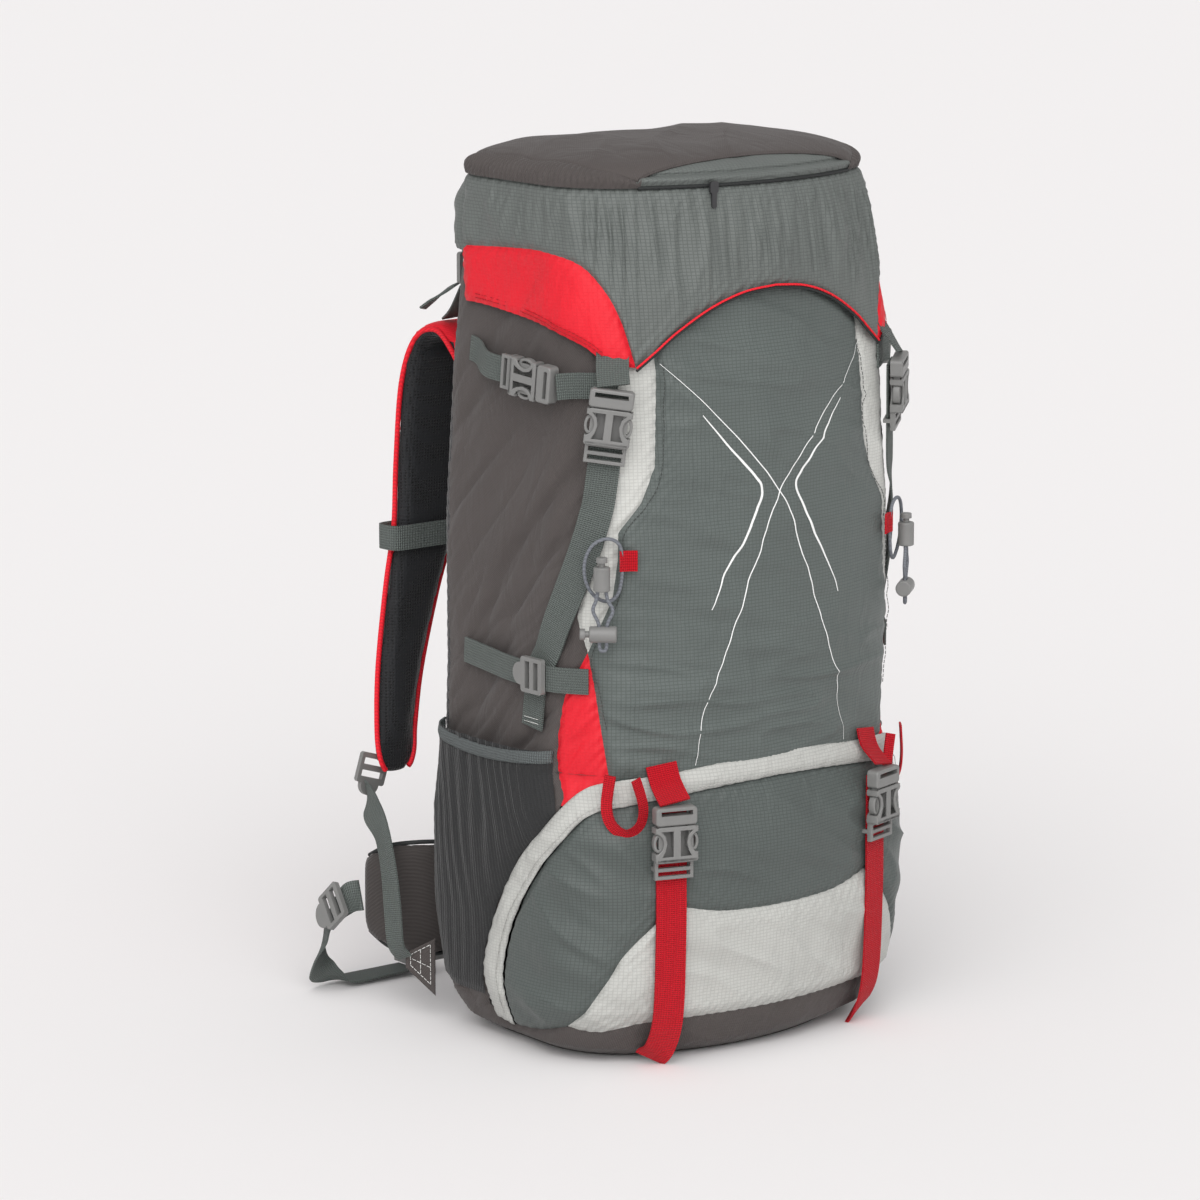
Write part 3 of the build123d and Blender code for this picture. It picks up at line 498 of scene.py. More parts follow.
def both_sides(points):
    """A curve given from the left side to the middle of the front, carried on to the right."""
    return list(points) + [(-s, z) for s, z in reversed(points[:-1])]


def flip(points):
    return [(-s, z) for s, z in points]


def make_object(name, body, material, vertices, faces, uvs=None):
    """A smooth-shaded mesh object from vertices in millimetres, riding on a body if one is given."""
    mesh = bpy.data.meshes.new(name)
    mesh.from_pydata([Vector(v) * MM for v in vertices], [], faces)
    if uvs:
        layer = mesh.uv_layers.new(name="metres")
        for loop in mesh.loops:
            layer.data[loop.index].uv = Vector(uvs[loop.vertex_index]) * MM
    mesh.polygons.foreach_set("use_smooth", [True] * len(mesh.polygons))
    mesh.update()
    made = bpy.data.objects.new(name, mesh)
    bpy.context.scene.collection.objects.link(made)
    made.data.materials.append(material)
    if body:
        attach(made, body)
    return made


def grid_faces(rows, columns, closed=False):
    """Faces of a grid of vertices stored row by row."""
    faces = []
    for row in range(rows - 1):
        for column in range(columns if closed else columns - 1):
            beside = (column + 1) % columns
            faces.append(
                (row * columns + column, row * columns + beside, (row + 1) * columns + beside,
                 (row + 1) * columns + column)
            )
    return faces


def thicken(made, thickness):
    """Give a sheet of fabric a real thickness, inwards."""
    modifier = made.modifiers.new("cloth_thickness", "SOLIDIFY")
    modifier.thickness = thickness * MM
    modifier.offset = -1
    return made


# ---------------------------------------------------------------- folds


def stretched(s, z, seed, lean, along_scale, across_scale):
    """Noise drawn out along a direction that leans this many degrees from upright."""
    angle = radians(lean)
    along = s * sin(angle) + z * cos(angle)
    across = s * cos(angle) - z * sin(angle)
    return noise.noise(Vector((across / across_scale, along / along_scale, seed)))


def creases(s, z, seed, lean, along_scale, across_scale):
    """The same, sharpened into narrow ridges."""
    return (1 - min(1, 2.4 * abs(stretched(s, z, seed, lean, along_scale, across_scale)))) ** 2


def front_folds(s, z):
    soft = 4.2 * stretched(s, z, 1.3, 66, 120, 30) + 1.7 * stretched(s, z, 9.1, 78, 60, 12)
    pulls = 3.2 * creases(s, z, 4.2, 66, 110, 30) * exp(-(((z - 520) / 70) ** 2))
    lower = 3.6 * creases(s, z, 8.8, 84, 90, 20) * exp(-(((z - 280) / 50) ** 2))
    return soft + pulls + lower


def gusset_folds(s, z):
    return 0.5 * front_folds(s, z)


def side_folds(s, z):
    lean = -42 if s >= 0 else 42
    soft = 4.6 * stretched(s, z, 2.7, lean, 130, 34) + 1.6 * stretched(s, z, 5.5, lean, 60, 13)
    lines = 4.0 * creases(s, z, 7.4, lean, 150, 36) + 2.0 * creases(s, z, 3.1, lean, 90, 20)
    return soft - lines * (0.4 + 0.6 * min(1, max(0, (560 - z) / 120)))


def lid_folds(s, z):
    lean = -s / 5
    soft = 4.4 * stretched(s, z, 11.2, 24, 90, 34) + 1.4 * stretched(s, z, 12.6, lean, 60, 14)
    return soft + 3.4 * creases(s, z, 14.9, lean, 110, 28) * min(1, max(0, (z - 575) / 60))


def lower_folds(s, z):
    soft = 4.4 * stretched(s, z, 21.3, 70, 110, 34) + 1.6 * stretched(s, z, 22.9, 60, 50, 14)
    return soft + 3.0 * creases(s, z, 25.2, 68, 100, 28)


def flat_folds(s, z):
    return 0.5 * stretched(s, z, 31.5, 20, 50, 14)


def panel(name, first, second, material, folds=flat_folds, table=BAG, body="pack_body", across=60, puff=1.6,
          lift=0.0, valley=1.5, pucker=0.6, shape=None):
    """A piece of fabric between two curves of (distance, height) on the bag, with a seam all round."""
    rows = len(first)
    vertices = []
    uvs = []
    for row in range(rows):
        start, end = Vector(first[row]), Vector(second[row])
        width = (end - start).length
        to_end = min(row, rows - 1 - row) / (rows - 1) * (Vector(first[-1]) - Vector(first[0])).length
        for column in range(across + 1):
            t = column / across
            s, z = start.lerp(end, t)
            edge = min(t * width, (1 - t) * width, to_end)
            away = lift + puff * (1 - exp(-edge / 9)) - valley * exp(-((edge / 3.2) ** 2))
            away += folds(s, z) * (1 - exp(-edge / 10))
            wave = sin(0.62 * (s + z) + 5 * noise.noise(Vector((s / 28, z / 28, 3))))
            away += pucker * wave * exp(-edge / 14)
            if shape:
                away += shape(t, row / (rows - 1), s, z)
            point, _ = surface(table, s, z, away)
            vertices.append(point)
            uvs.append((s, z))
    return make_object(name, body, material, vertices, grid_faces(rows, across + 1), uvs)


# ---------------------------------------------------------------- seam lines, as (distance, height)

BAG_TOP = 622
GUSSET_JOIN = 330  # where the light gusset ends and the red one starts
BACK_SEAM_Y = 78  # the seam between the side panels and the back
front_edge = ((104, BAG_TOP), (104, 554), (108, 474), (120, 446), (139, 424), (139, 404), (143, 372),
              (162, 330), (156, 301), (151, 270), (145, 235))
side_seam = ((149, BAG_TOP), (149, 461), (160, 403), (167, 384), (171, 356), (162, 330), (182, 293),
             (187, 264), (188, 245), (184, 215), (191, 204), (235, 163), (265, 119), (279, 79), (280, 52),
             (270, 24))
FLAP_OUTER = ((258, 20), (279, 52), (279, 79), (265, 119), (235, 163), (191, 204), (164, 224), (139, 230),
              (101, 233), (50, 238), (0, 240))
FLAP_INNER = ((234, 16), (253, 47), (255, 75), (243, 114), (214, 155), (182, 190), (160, 206), (133, 211),
              (102, 215), (50, 220), (0, 222))
LIGHT_TOP = ((177, 30), (166, 46), (150, 73), (135, 98), (98, 130))
LIGHT_MIDDLE = ((98, 130), (60, 122), (20, 120), (0, 120))
BASE_FRONT = ((177, 30), (150, 27), (119, 34), (70, 36), (0, 36))
BASE_SIDE = ((234, 16), (205, 20), (177, 30))


top_down = falling(BAG_TOP, 229, 190)
left = at_heights(front_edge, top_down)
main_front = panel(
    "front_cloth", list(zip(left, top_down)), [(-s, z) for s, z in zip(left, top_down)], front_cloth,
    front_folds, across=150,
)
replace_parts(main_front, "front_panel")

for side, sign in (("left", 1), ("right", -1)):
    heights = falling(BAG_TOP, GUSSET_JOIN, 120)
    inner = [(sign * s, z) for s, z in zip(at_heights(front_edge, heights), heights)]
    outer = [(sign * s, z) for s, z in zip(at_heights(side_seam, heights), heights)]
    panel(f"{side}_light_gusset", inner, outer, light_cloth, gusset_folds, across=26, puff=1.0, pucker=0.6)

    heights = falling(GUSSET_JOIN, 209, 60)
    inner = [(sign * s, max(z, 0)) for s, z in zip(at_heights(front_edge + ((139, 216),), heights), heights)]
    outer = [(sign * s, z) for s, z in zip(at_heights(side_seam, heights), heights)]
    panel(f"{side}_red_gusset", inner, outer, red_cloth, side_folds, across=30, puff=1.8, pucker=0.6)

    heights = falling(BAG_TOP, 12, 240)
    seam = [(sign * s, z) for s, z in zip(at_heights(side_seam, heights), heights)]
    rear = [(sign * section(BAG, round(z * 10)).at_y(BACK_SEAM_Y), z) for z in heights]
    cloth = panel(f"{side}_side_cloth", seam, rear, side_cloth, side_folds, across=90)
    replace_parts(cloth, f"{side}_side_panel")

heights = falling(BAG_TOP, 26, 150)
rear = [section(BAG, round(z * 10)).at_y(BACK_SEAM_Y) for z in heights]
far = [2 * section(BAG, round(z * 10)).total - s for s, z in zip(rear, heights)]
back_cloth = panel(
    "back_cloth", list(zip(rear, heights)), list(zip(far, heights)),
    spacer_mesh("back_mesh", (0.03, 0.03, 0.032)), flat_folds, across=110, puff=0.3,
)
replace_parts(back_cloth, "back_panel")

flap_outer = evenly(both_sides(curve(FLAP_OUTER, 90)), 260)
flap_inner = evenly(both_sides(curve(FLAP_INNER, 90)), 260)
zip_band = panel(
    "zip_flap_cloth", flap_outer, flap_inner, lower_light_cloth, lower_folds, across=10, puff=1.4, lift=1.9,
    valley=0.8, pucker=0.5,
)
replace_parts(thicken(zip_band, 1.0), "zip_flap")

light_edge = curve(LIGHT_TOP, 40) + curve(LIGHT_MIDDLE, 30)[1:]
base_edge = curve(BASE_FRONT, 60)
panel(
    "lower_light_cloth", evenly(both_sides(base_edge), 200), evenly(both_sides(light_edge), 200),
    lower_light_cloth, lower_folds, across=50, puff=1.6,
)
dark_edge = curve(BASE_SIDE, 20) + light_edge[1:]
dark_panel = panel(
    "lower_dark_cloth", evenly(both_sides(dark_edge), 280), evenly(flap_inner, 280), lower_cloth, lower_folds,
    across=60, puff=1.8,
)
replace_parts(dark_panel, "lower_front_panel")


# ---------------------------------------------------------------- base

BASE_LINE = ((section(BAG, 300).total, 38), (400, 38), (342, 38), (300, 36), (268, 27), (252, 20), (234, 16))
base_top = curve(BASE_LINE, 40) + curve(BASE_SIDE, 20)[1:]
base_top = evenly(both_sides(base_top + base_edge[1:]), 300)
base_foot = [(p[0] * 0.985, 0.8) for p in base_top]
panel("base_cloth", base_foot, base_top, side_cloth, lower_folds, across=14, puff=0.8)


def disc(name, body, material, table, z, rings, relief, low=0.0):
    """A closed sheet that fills the outline at a height, from its middle out."""
    columns = 160
    shape = section(table, round(z * 10))
    middle = Vector((0, (shape.at(0)[0][1] + shape.back) / 2, z))
    vertices = []
    uvs = []
    for ring in range(rings + 1):
        share = ring / rings
        for column in range(columns):
            (x, y), _ = shape.at((column / columns * 2 - 1) * shape.total)
            point = middle.lerp(Vector((x, y, z)), share)
            point.z = z + low + relief(point.x, point.y, share)
            vertices.append(point)
            uvs.append((point.x, point.y))
    return make_object(name, body, material, vertices, grid_faces(rings + 1, columns, closed=True), uvs)


base_under = disc("base_underside", "pack_body", side_cloth, BAG, 0.9, 20, lambda x, y, share: 0.0)
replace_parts(base_under, "base_panel")


def floor_relief(x, y, share):
    return 2.0 * noise.noise(Vector((x / 60, y / 60, 41))) * (1 - share)


COMPARTMENT_FLOOR = 234
inner_floor = disc(
    "compartment_floor_cloth", "pack_body", lining_cloth, BAG, COMPARTMENT_FLOOR, 24, floor_relief
)
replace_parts(inner_floor, "compartment_floor")


# ---------------------------------------------------------------- lid

PIPING = ((125, 551), (110, 562), (90, 577), (60, 594), (30, 604), (0, 607))
LEAF_TOP = ((302, 630), (286, 631), (240, 634), (199, 635), (165, 629), (147, 613), (134, 587), (125, 551))
LEAF_BOTTOM = ((302, 588), (286, 588), (255, 586), (205, 580), (167, 568), (149, 556), (125, 551))
ZIP_HEIGHT = 685

piping_line = curve(PIPING, 60)
leaf_top = curve(LEAF_TOP, 90)
leaf_bottom = curve(LEAF_BOTTOM, 90)

skirt_low = evenly(both_sides(leaf_top + piping_line[1:]), 300)
skirt_top = [(p[0] * 0.985, ZIP_HEIGHT) for p in skirt_low]
panel(
    "lid_skirt_cloth", skirt_low, skirt_top, lid_cloth, lid_folds, table=LID, body="lid", across=60, puff=2.0,
    pucker=0.6,
)
for side, sign in (("left", 1), ("right", -1)):
    top = [(sign * s, z) for s, z in leaf_top]
    bottom = [(sign * s, z) for s, z in leaf_bottom]
    panel(
        f"{side}_leaf_cloth", top, bottom, red_cloth, side_folds, table=LID, body="lid", across=34, puff=2.0
    )

rear_span = section(LID, 6500).total
rear_low = [(296 + (2 * rear_span - 592) * i / 90, 626) for i in range(91)]
rear_top = [(292 + (2 * rear_span - 584) * i / 90, ZIP_HEIGHT) for i in range(91)]
panel("lid_rear_cloth", rear_low, rear_top, lid_cloth, lid_folds, table=LID, body="lid", across=24)


TOP_MIDDLE = Vector((0, -12, 0))
TOP_RISE = 25


def lid_top_point(share_round, climb, relief=0.0):
    """A point on the domed lid top: round it from -1 to 1, and from its edge (0) to its middle (1)."""
    shape = section(LID, 10 * ZIP_HEIGHT)
    (x, y), (face_x, face_y) = shape.at(share_round * shape.total)
    angle = climb * pi / 2
    reach = max(0, cos(angle)) ** 0.62
    rise = sin(angle) ** 0.72
    point = TOP_MIDDLE.lerp(Vector((x, y, 0)), reach)
    out = Vector((face_x * cos(angle), face_y * cos(angle), sin(angle)))
    return Vector((point.x, point.y, ZIP_HEIGHT + TOP_RISE * rise)) + out * relief


def overlap_edge(share_round):
    """How far up the top's brown panel starts: the grey wedge in front, the elastic at the sides."""
    s = abs(share_round) * section(LID, 10 * ZIP_HEIGHT).total
    if s < 108:
        return 0.03 + 0.42 * max(0, 1 - (s / 108) ** 2) ** 0.6
    if s < 340:
        t = (s - 108) / 232
        return 0.03 + 0.30 * min(1, sin(pi * t) * 1.5) + 0.02 * sin(s / 9)
    return 0.02


def top_piece(name, material, round_range, climb_range, columns, rows, relief):
    """A grid on the lid's top; the climb range is a pair of functions of the place round it."""
    vertices = []
    uvs = []
    for row in range(rows + 1):
        for column in range(columns + 1):
            share = round_range[0] + (round_range[1] - round_range[0]) * column / columns
            low, high = climb_range[0](share), climb_range[1](share)
            climb = low + (high - low) * row / rows
            point = lid_top_point(share, climb, relief(share, row / rows, climb))
            vertices.append(point)
            uvs.append((point.x, point.y + point.z))
    return make_object(name, "lid", material, vertices, grid_faces(rows + 1, columns + 1), uvs)


def top_relief(share, t, climb):
    point = lid_top_point(share, climb)
    fold = 2.4 * creases(point.x, point.y, 51.2, 38, 160, 60)
    fold += 1.6 * stretched(point.x, point.y, 52.4, 30, 90, 40)
    hem = 1.6 * (1 - exp(-t * 40)) - 0.6 * exp(-((t - 0.035) * 60) ** 2)
    return hem + fold * min(1, 3 * t)


lid_top = top_piece(
    "lid_top_cloth", side_cloth, (-1, 1), (overlap_edge, lambda share: 1.0), 260, 60, top_relief
)
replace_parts(thicken(lid_top, 1.0), "lid_shell")

total = section(LID, 10 * ZIP_HEIGHT).total


def wedge_relief(share, t, climb):
    roll = 3.4 * exp(-(((climb - 0.075) / 0.05) ** 2)) - 2.2 * exp(-(((climb - 0.16) / 0.03) ** 2))
    return roll + 0.5 * stretched(share * total, climb * 60, 55.1, 20, 40, 14)


top_piece(
    "lid_front_wedge", lid_cloth, (-110 / total, 110 / total),
    (lambda share: 0.0, lambda share: overlap_edge(share) + 0.03), 150, 26, wedge_relief,
)


def gather_relief(share, t, climb):
    s = share * total
    wave = sin(2 * pi * s / 5.2 + 3 * noise.noise(Vector((s / 16, t * 2, 61))))
    return 1.2 + 2.4 * sin(pi * min(1, t * 0.9 + 0.05)) + 0.9 * wave * sin(pi * min(1, 0.15 + t * 0.75))


for side, sign in (("left", 1), ("right", -1)):
    top_piece(
        f"{side}_elastic_gather", side_cloth, (sign * 106 / total, sign * 342 / total),
        (lambda share: 0.0, lambda share: overlap_edge(share) + 0.03), 260, 16, gather_relief,
    )


def tube(name, body, material, points, radius, closed=False, sides=8):
    """A round cord-like trim through points in millimetres."""
    points = [Vector(p) for p in points]
    count = len(points)
    vertices = []
    for index, here in enumerate(points):
        ahead = points[(index + 1) % count] if closed else points[min(index + 1, count - 1)]
        behind = points[index - 1] if closed or index else here
        along = (ahead - behind).normalized()
        out = along.orthogonal().normalized() if index == 0 else (out - along * out.dot(along)).normalized()
        side = along.cross(out)
        for corner in range(sides):
            angle = 2 * pi * corner / sides
            vertices.append(here + (out * cos(angle) + side * sin(angle)) * radius)
    faces = grid_faces(count, sides, closed=True)
    if closed:
        last = (count - 1) * sides
        faces += [(last + c, last + (c + 1) % sides, (c + 1) % sides, c) for c in range(sides)]
    return make_object(name, body, material, vertices, faces)


piping_points = [surface(LID, s, z, 1.0)[0] for s, z in both_sides(piping_line)]
tube("lid_piping", "lid", red_piping, piping_points, 0.9)
under_points = [surface(LID, s, z - 2.2, 0.0)[0] for s, z in both_sides(piping_line)]
tube("lid_piping_shadow_cord", "lid", dark_thread, under_points, 1.1)
zip_points = [lid_top_point(s / total, 0.0, 0.6) for s in range(-108, 109, 3)]
tube("lid_zip_coil", "lid", dark_thread, zip_points, 1.5)


def lid_floor_relief(x, y, share):
    return 1.5 * noise.noise(Vector((x / 50, y / 50, 44))) * (1 - share)


LID_FLOOR = 648
lid_floor = disc("lid_floor_cloth", "lid", lining_cloth, LID, LID_FLOOR, 24, lid_floor_relief)
for vertex in lid_floor.data.vertices:
    vertex.co.x *= 0.975
    vertex.co.y = (vertex.co.y + 0.012) * 0.97 - 0.012
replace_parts(lid_floor, "lid_floor")


# ---------------------------------------------------------------- collar inside the bag's mouth


COLLAR_LOW, COLLAR_TOP = 600, 641


def collar_folds(t, u, s, z):
    rise = max(0, z - COLLAR_LOW) / 42
    return -6.0 - 3.0 * rise + 1.4 * rise * sin(s / 2.2 + 2 * noise.noise(Vector((s / 20, 0, 71))))


mouth = section(BAG, 6250).total
collar_low = [((i / 150 - 1) * section(BAG, 10 * COLLAR_LOW).total, COLLAR_LOW) for i in range(301)]
collar_top = [((i / 150 - 1) * mouth, COLLAR_TOP) for i in range(301)]
collar_cloth = panel(
    "collar_cloth", collar_low, collar_top, lining_cloth, across=16, puff=0, valley=0, pucker=0,
    shape=collar_folds,
)
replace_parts(collar_cloth, "collar")
cord_points = [surface(BAG, (i / 60 - 1) * mouth, 637, -8.4)[0] for i in range(120)]
tube("collar_drawcord", "pack_body", grey_cord, cord_points, 1.3, closed=True)


# ---------------------------------------------------------------- mesh side pockets

POCKET_TOP = 250
pocket_front = ((190, 250), (192, 204), (237, 163), (267, 119), (281, 79), (282, 52), (277, 38))
pocket_seam_y = 82


def pocket_shape(t, u, s, z):
    """The pocket stands off the bag and its pleats open towards the hem."""
    stand = 4 + 12 * (max(0, z - 60) / 190) ** 1.2
    inside = (1 - exp(-t * 9)) * (1 - exp(-(1 - t) * 8)) * (1 - exp(-(1 - u) * 7))
    pleats = sin(2 * pi * (abs(s) + 11 * noise.noise(Vector((abs(s) / 48, z / 110, 81)))) / 11.5)
    depth = 0.35 + 0.65 * abs(noise.noise(Vector((abs(s) / 30, z / 120, 84))) * 2)
    return 0.8 + inside * (stand + pleats * depth * (0.4 + 0.9 * (z / 250)))


heights = falling(POCKET_TOP, 38, 120)
for side, sign in (("left", 1), ("right", -1)):
    seam = [(sign * s, z) for s, z in zip(at_heights(pocket_front, heights), heights)]
    rear = [(sign * section(BAG, round(z * 10)).at_y(pocket_seam_y), z) for z in heights]
    pocket = panel(
        f"{side}_pocket_mesh", seam, rear, pocket_cloth, across=110, puff=0, valley=0, pucker=0.2,
        folds=lambda s, z: 0.6 * stretched(s, z, 83.1, 10, 60, 16), shape=pocket_shape,
    )
    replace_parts(pocket, f"{side}_mesh_pocket")
    hem_low = []
    hem_top = []
    start, end = seam[0][0], rear[0][0]
    for i in range(91):
        t = i / 90
        dip = -5 * sin(pi * t)
        hem_top.append((start + (end - start) * t, 251 + dip))
        hem_low.append((start + (end - start) * t, 241 + dip))

    def hem_shape(t, u, s, z):
        return 1.4 + (1 - exp(-u * 9)) * (1 - exp(-(1 - u) * 8)) * 15.6 + 0.8 * sin(pi * t)

    hem = panel(
        f"{side}_pocket_binding", hem_low, hem_top, grey_tape, across=8, puff=0, valley=0, pucker=0.15,
        shape=hem_shape,
    )
    thicken(hem, 1.4)


# ---------------------------------------------------------------- webbing

WEB = 1.6


def corner_place(z, turn, away):
    """A point over the rounded front left corner; turn is 0 at the side and grows to the front."""
    shape = section(BAG, round(z * 10))
    face = Vector((-cos(radians(turn)), -sin(radians(turn)), 0))
    middle = Vector((-shape.corner_x, shape.corner_y, z))
    return middle + face * (FRONT_CORNER + away), face


def side_place(z, y, away):
    return Vector((-(section(BAG, round(z * 10)).half + away), y, z)), Vector((-1, 0, 0))


def front_place(z, x, away):
    shape = section(BAG, round(z * 10))
    reach = sqrt((shape.radius + away) ** 2 - x**2)
    return Vector((x, shape.centre - reach, z)), Vector((x, -reach, 0)).normalized()


def strip_frame(rows, index):
    """The point, across and outward directions at one row of (point, face, ...) of a strip."""
    here, face = Vector(rows[index][:3]), Vector(rows[index][3:6])
    ahead, behind = rows[min(index + 1, len(rows) - 1)], rows[max(index - 1, 0)]
    along = (Vector(ahead[:3]) - Vector(behind[:3])).normalized()
    across = face.cross(along).normalized()
    return here, across, along.cross(across).normalized()


def strap_mesh(stations, width, steps=5, thickness=WEB):
    """Vertices, faces and map of a flat strap on a smooth curve through stations of (point, face)."""
    count = (len(stations) - 1) * steps * 2 + 1
    joined = [(*Vector(point), *face) for point, face in stations]
    fine = smooth_any(joined, count)
    corners = ((-0.5, -0.5), (-0.5, 0.5), (-0.45, 0.5), (0, 0.56), (0.45, 0.5), (0.5, 0.5), (0.5, -0.5),
               (0.45, -0.5), (0, -0.5), (-0.45, -0.5))
    vertices = []
    uvs = []
    run = 0.0
    for index in range(count):
        here, across, out = strip_frame(fine, index)
        if index:
            run += (here - Vector(fine[index - 1][:3])).length
        for u, v in corners:
            vertices.append(here + across * (u * width) + out * (v * thickness))
            uvs.append((run, u * width))
    size = len(corners)
    faces = grid_faces(count, size, closed=True)
    faces.append(tuple(range(size - 1, -1, -1)))
    faces.append(tuple((count - 1) * size + i for i in range(size)))
    return vertices, faces, uvs


def smooth_any(rows, count):
    """The smooth curve of smooth(), for rows of any length, spaced evenly by station."""
    made = []
    spans = len(rows) - 1
    for index in range(count):
        place = index / (count - 1) * spans
        at = min(int(place), spans - 1)
        t = place - at
        before, start = rows[max(at - 1, 0)], rows[at]
        end, after = rows[at + 1], rows[min(at + 2, spans)]
        made.append([
            s * (2 * t**3 - 3 * t**2 + 1) + (e - b) / 2 * (t**3 - 2 * t**2 + t) + e * (3 * t**2 - 2 * t**3)
            + (a - s) / 2 * (t**3 - t**2)
            for b, s, e, a in zip(before, start, end, after)
        ])
    return made


def mirrored(vertices, faces):
    """The right-hand copy of a left-hand mesh."""
    return [Vector((-v[0], v[1], v[2])) for v in vertices], [tuple(reversed(face)) for face in faces]


def straps(name, runs, width, material, node, body="pack_body", pair=True, thickness=WEB):
    """One object of several straps, with their mirror images if they come in pairs."""
    all_vertices, all_faces, all_uvs = [], [], []
    for run in runs:
        vertices, faces, uvs = strap_mesh(run, width, thickness=thickness)
        copies = [(vertices, faces)] + ([mirrored(vertices, faces)] if pair else [])
        for points, sides in copies:
            start = len(all_vertices)
            all_vertices += points
            all_faces += [tuple(i + start for i in side) for side in sides]
            all_uvs += uvs
    made = make_object(name, body, material, all_vertices, all_faces, all_uvs)
    sharpen(made)
    if node:
        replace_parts(made, node)
    return made


def sharpen(made, angle=40):
    """Keep edges sharper than this angle crisp under smooth shading."""
    mesh = bmesh.new()
    mesh.from_mesh(made.data)
    for edge in mesh.edges:
        if len(edge.link_faces) == 2 and edge.calc_face_angle() > radians(angle):
            edge.smooth = False
    mesh.to_mesh(made.data)
    mesh.free()


def on_plane(origin, along, face, x, z):
    return origin + along * x + face * z


BUCKLE_MIDDLE = 2.6 + 10.6 / 2
PLUG_TAIL = -18

upper_point, upper_face = corner_place(538, 8, 5)
upper_along = Vector((-sin(radians(8)), cos(radians(8)), 0.1)).normalized()
upper_face = (upper_face - upper_along * upper_face.dot(upper_along)).normalized()
straps(
    "upper_compression_webbing",
    [
        [
            (on_plane(upper_point, upper_along, upper_face, -10, 0), upper_face),
            (on_plane(upper_point, upper_along, upper_face, 34, 0), upper_face),
            (on_plane(upper_point, upper_along, upper_face, 64, 0), upper_face),
            side_place(550, 34, 3),
            side_place(552, 46, 1.6),
        ],
        [
            (on_plane(upper_point, upper_along, upper_face, PLUG_TAIL, BUCKLE_MIDDLE), upper_face),
            corner_place(537, 28, 7),
            corner_place(537, 44, 3),
            corner_place(536, 54, 2),
        ],
    ],
    20, grey_webbing, "upper_straps",
)

lid_point, lid_face = corner_place(522, 50, 10)
lid_along = Vector((-0.09, 0.09, -1)).normalized()
lid_face = (lid_face - lid_along * lid_face.dot(lid_along)).normalized()
straps(
    "lid_strap_tape",
    [[
        (on_plane(lid_point, lid_along, lid_face, -10, 0), lid_face),
        (on_plane(lid_point, lid_along, lid_face, 25, 0), lid_face),
        (on_plane(lid_point, lid_along, lid_face, 70, 0), lid_face),
        corner_place(436, 41, 5.2),
        corner_place(418, 37, 4.8),
        corner_place(396, 31, 4.4),
        corner_place(374, 24, 3.8),
        corner_place(350, 16, 3.2),
        corner_place(328, 9, 2.6),
        side_place(308, -48, 2),
        side_place(266, -43, 2.4),
    ]],
    25, grey_webbing, "lid_strap_webbing",
)
straps(
    "lid_anchor_tape",
    [[
        (on_plane(lid_point, lid_along, lid_face, PLUG_TAIL, BUCKLE_MIDDLE), lid_face),
        corner_place(551, 51, 13.5),
        corner_place(566, 51.5, 6.5),
    ]],
    25, grey_webbing, "lid_webbing", body="lid",
)

_, front_face = front_place(150, -104, 5)
front_point = Vector((-104, front_place(150, -104, 5)[0].y, 198))
down = Vector((0, 0, -1))
straps(
    "front_strap_tape",
    [
        [
            (on_plane(front_point, down, front_face, -10, 0), front_face),
            (on_plane(front_point, down, front_face, 40, 0), front_face),
            (on_plane(front_point, down, front_face, 88, 0), front_face),
            front_place(45, -104, 9),
            front_place(16, -104, 14),
            front_place(4, -104, 17),
        ],
        [
            (on_plane(front_point, down, front_face, PLUG_TAIL, BUCKLE_MIDDLE), front_face),
            front_place(228, -104, 9),
            front_place(242, -104, 4),
        ],
    ],
    25, red_webbing, "front_straps",
)

straps(
    "lower_compression_webbing",
    [[
        corner_place(308, 38, 2.4),
        corner_place(308, 29, 3),
        corner_place(308, 17, 5.6),
        corner_place(308, 2, 5.6),
        side_place(309, -16, 5.6),
        side_place(311, 16, 3.6),
        side_place(313, 46, 2),
    ]],
    20, grey_webbing, "lower_straps",
)

OUT = Vector((0, 1, 0))
straps(
    "haul_loop_tape",
    [[
        ((-21, 108.5, 528), OUT),
        ((-21, 108.5, 506), OUT),
        ((-15, 108.5, 493), OUT),
        ((0, 108.5, 487), OUT),
        ((15, 108.5, 493), OUT),
        ((21, 108.5, 506), OUT),
        ((21, 108.5, 528), OUT),
    ]],
    12, grey_webbing, "haul_loop", body="haul_handle", pair=False, thickness=3,
)

LIFTER = (
    ((-118, 103.5, 592), (0, 0.9, 0.43)),
    ((-114, 122, 572), (0, 0.75, 0.66)),
    ((-108, 141, 560.5), (0, 0.4, 0.9)),
)

straps(
    "load_lifter_tail",
    [[
        ((-126, 108, 592), (-0.5, 0.6, 0.6)),
        ((-131, 115, 587), (-0.6, 0.6, 0.5)),
        ((-137, 123, 580), (-0.5, 0.7, 0.5)),
        ((-144, 130, 572), (-0.3, 0.6, 0.7)),
    ]],
    16, grey_webbing, None,
)

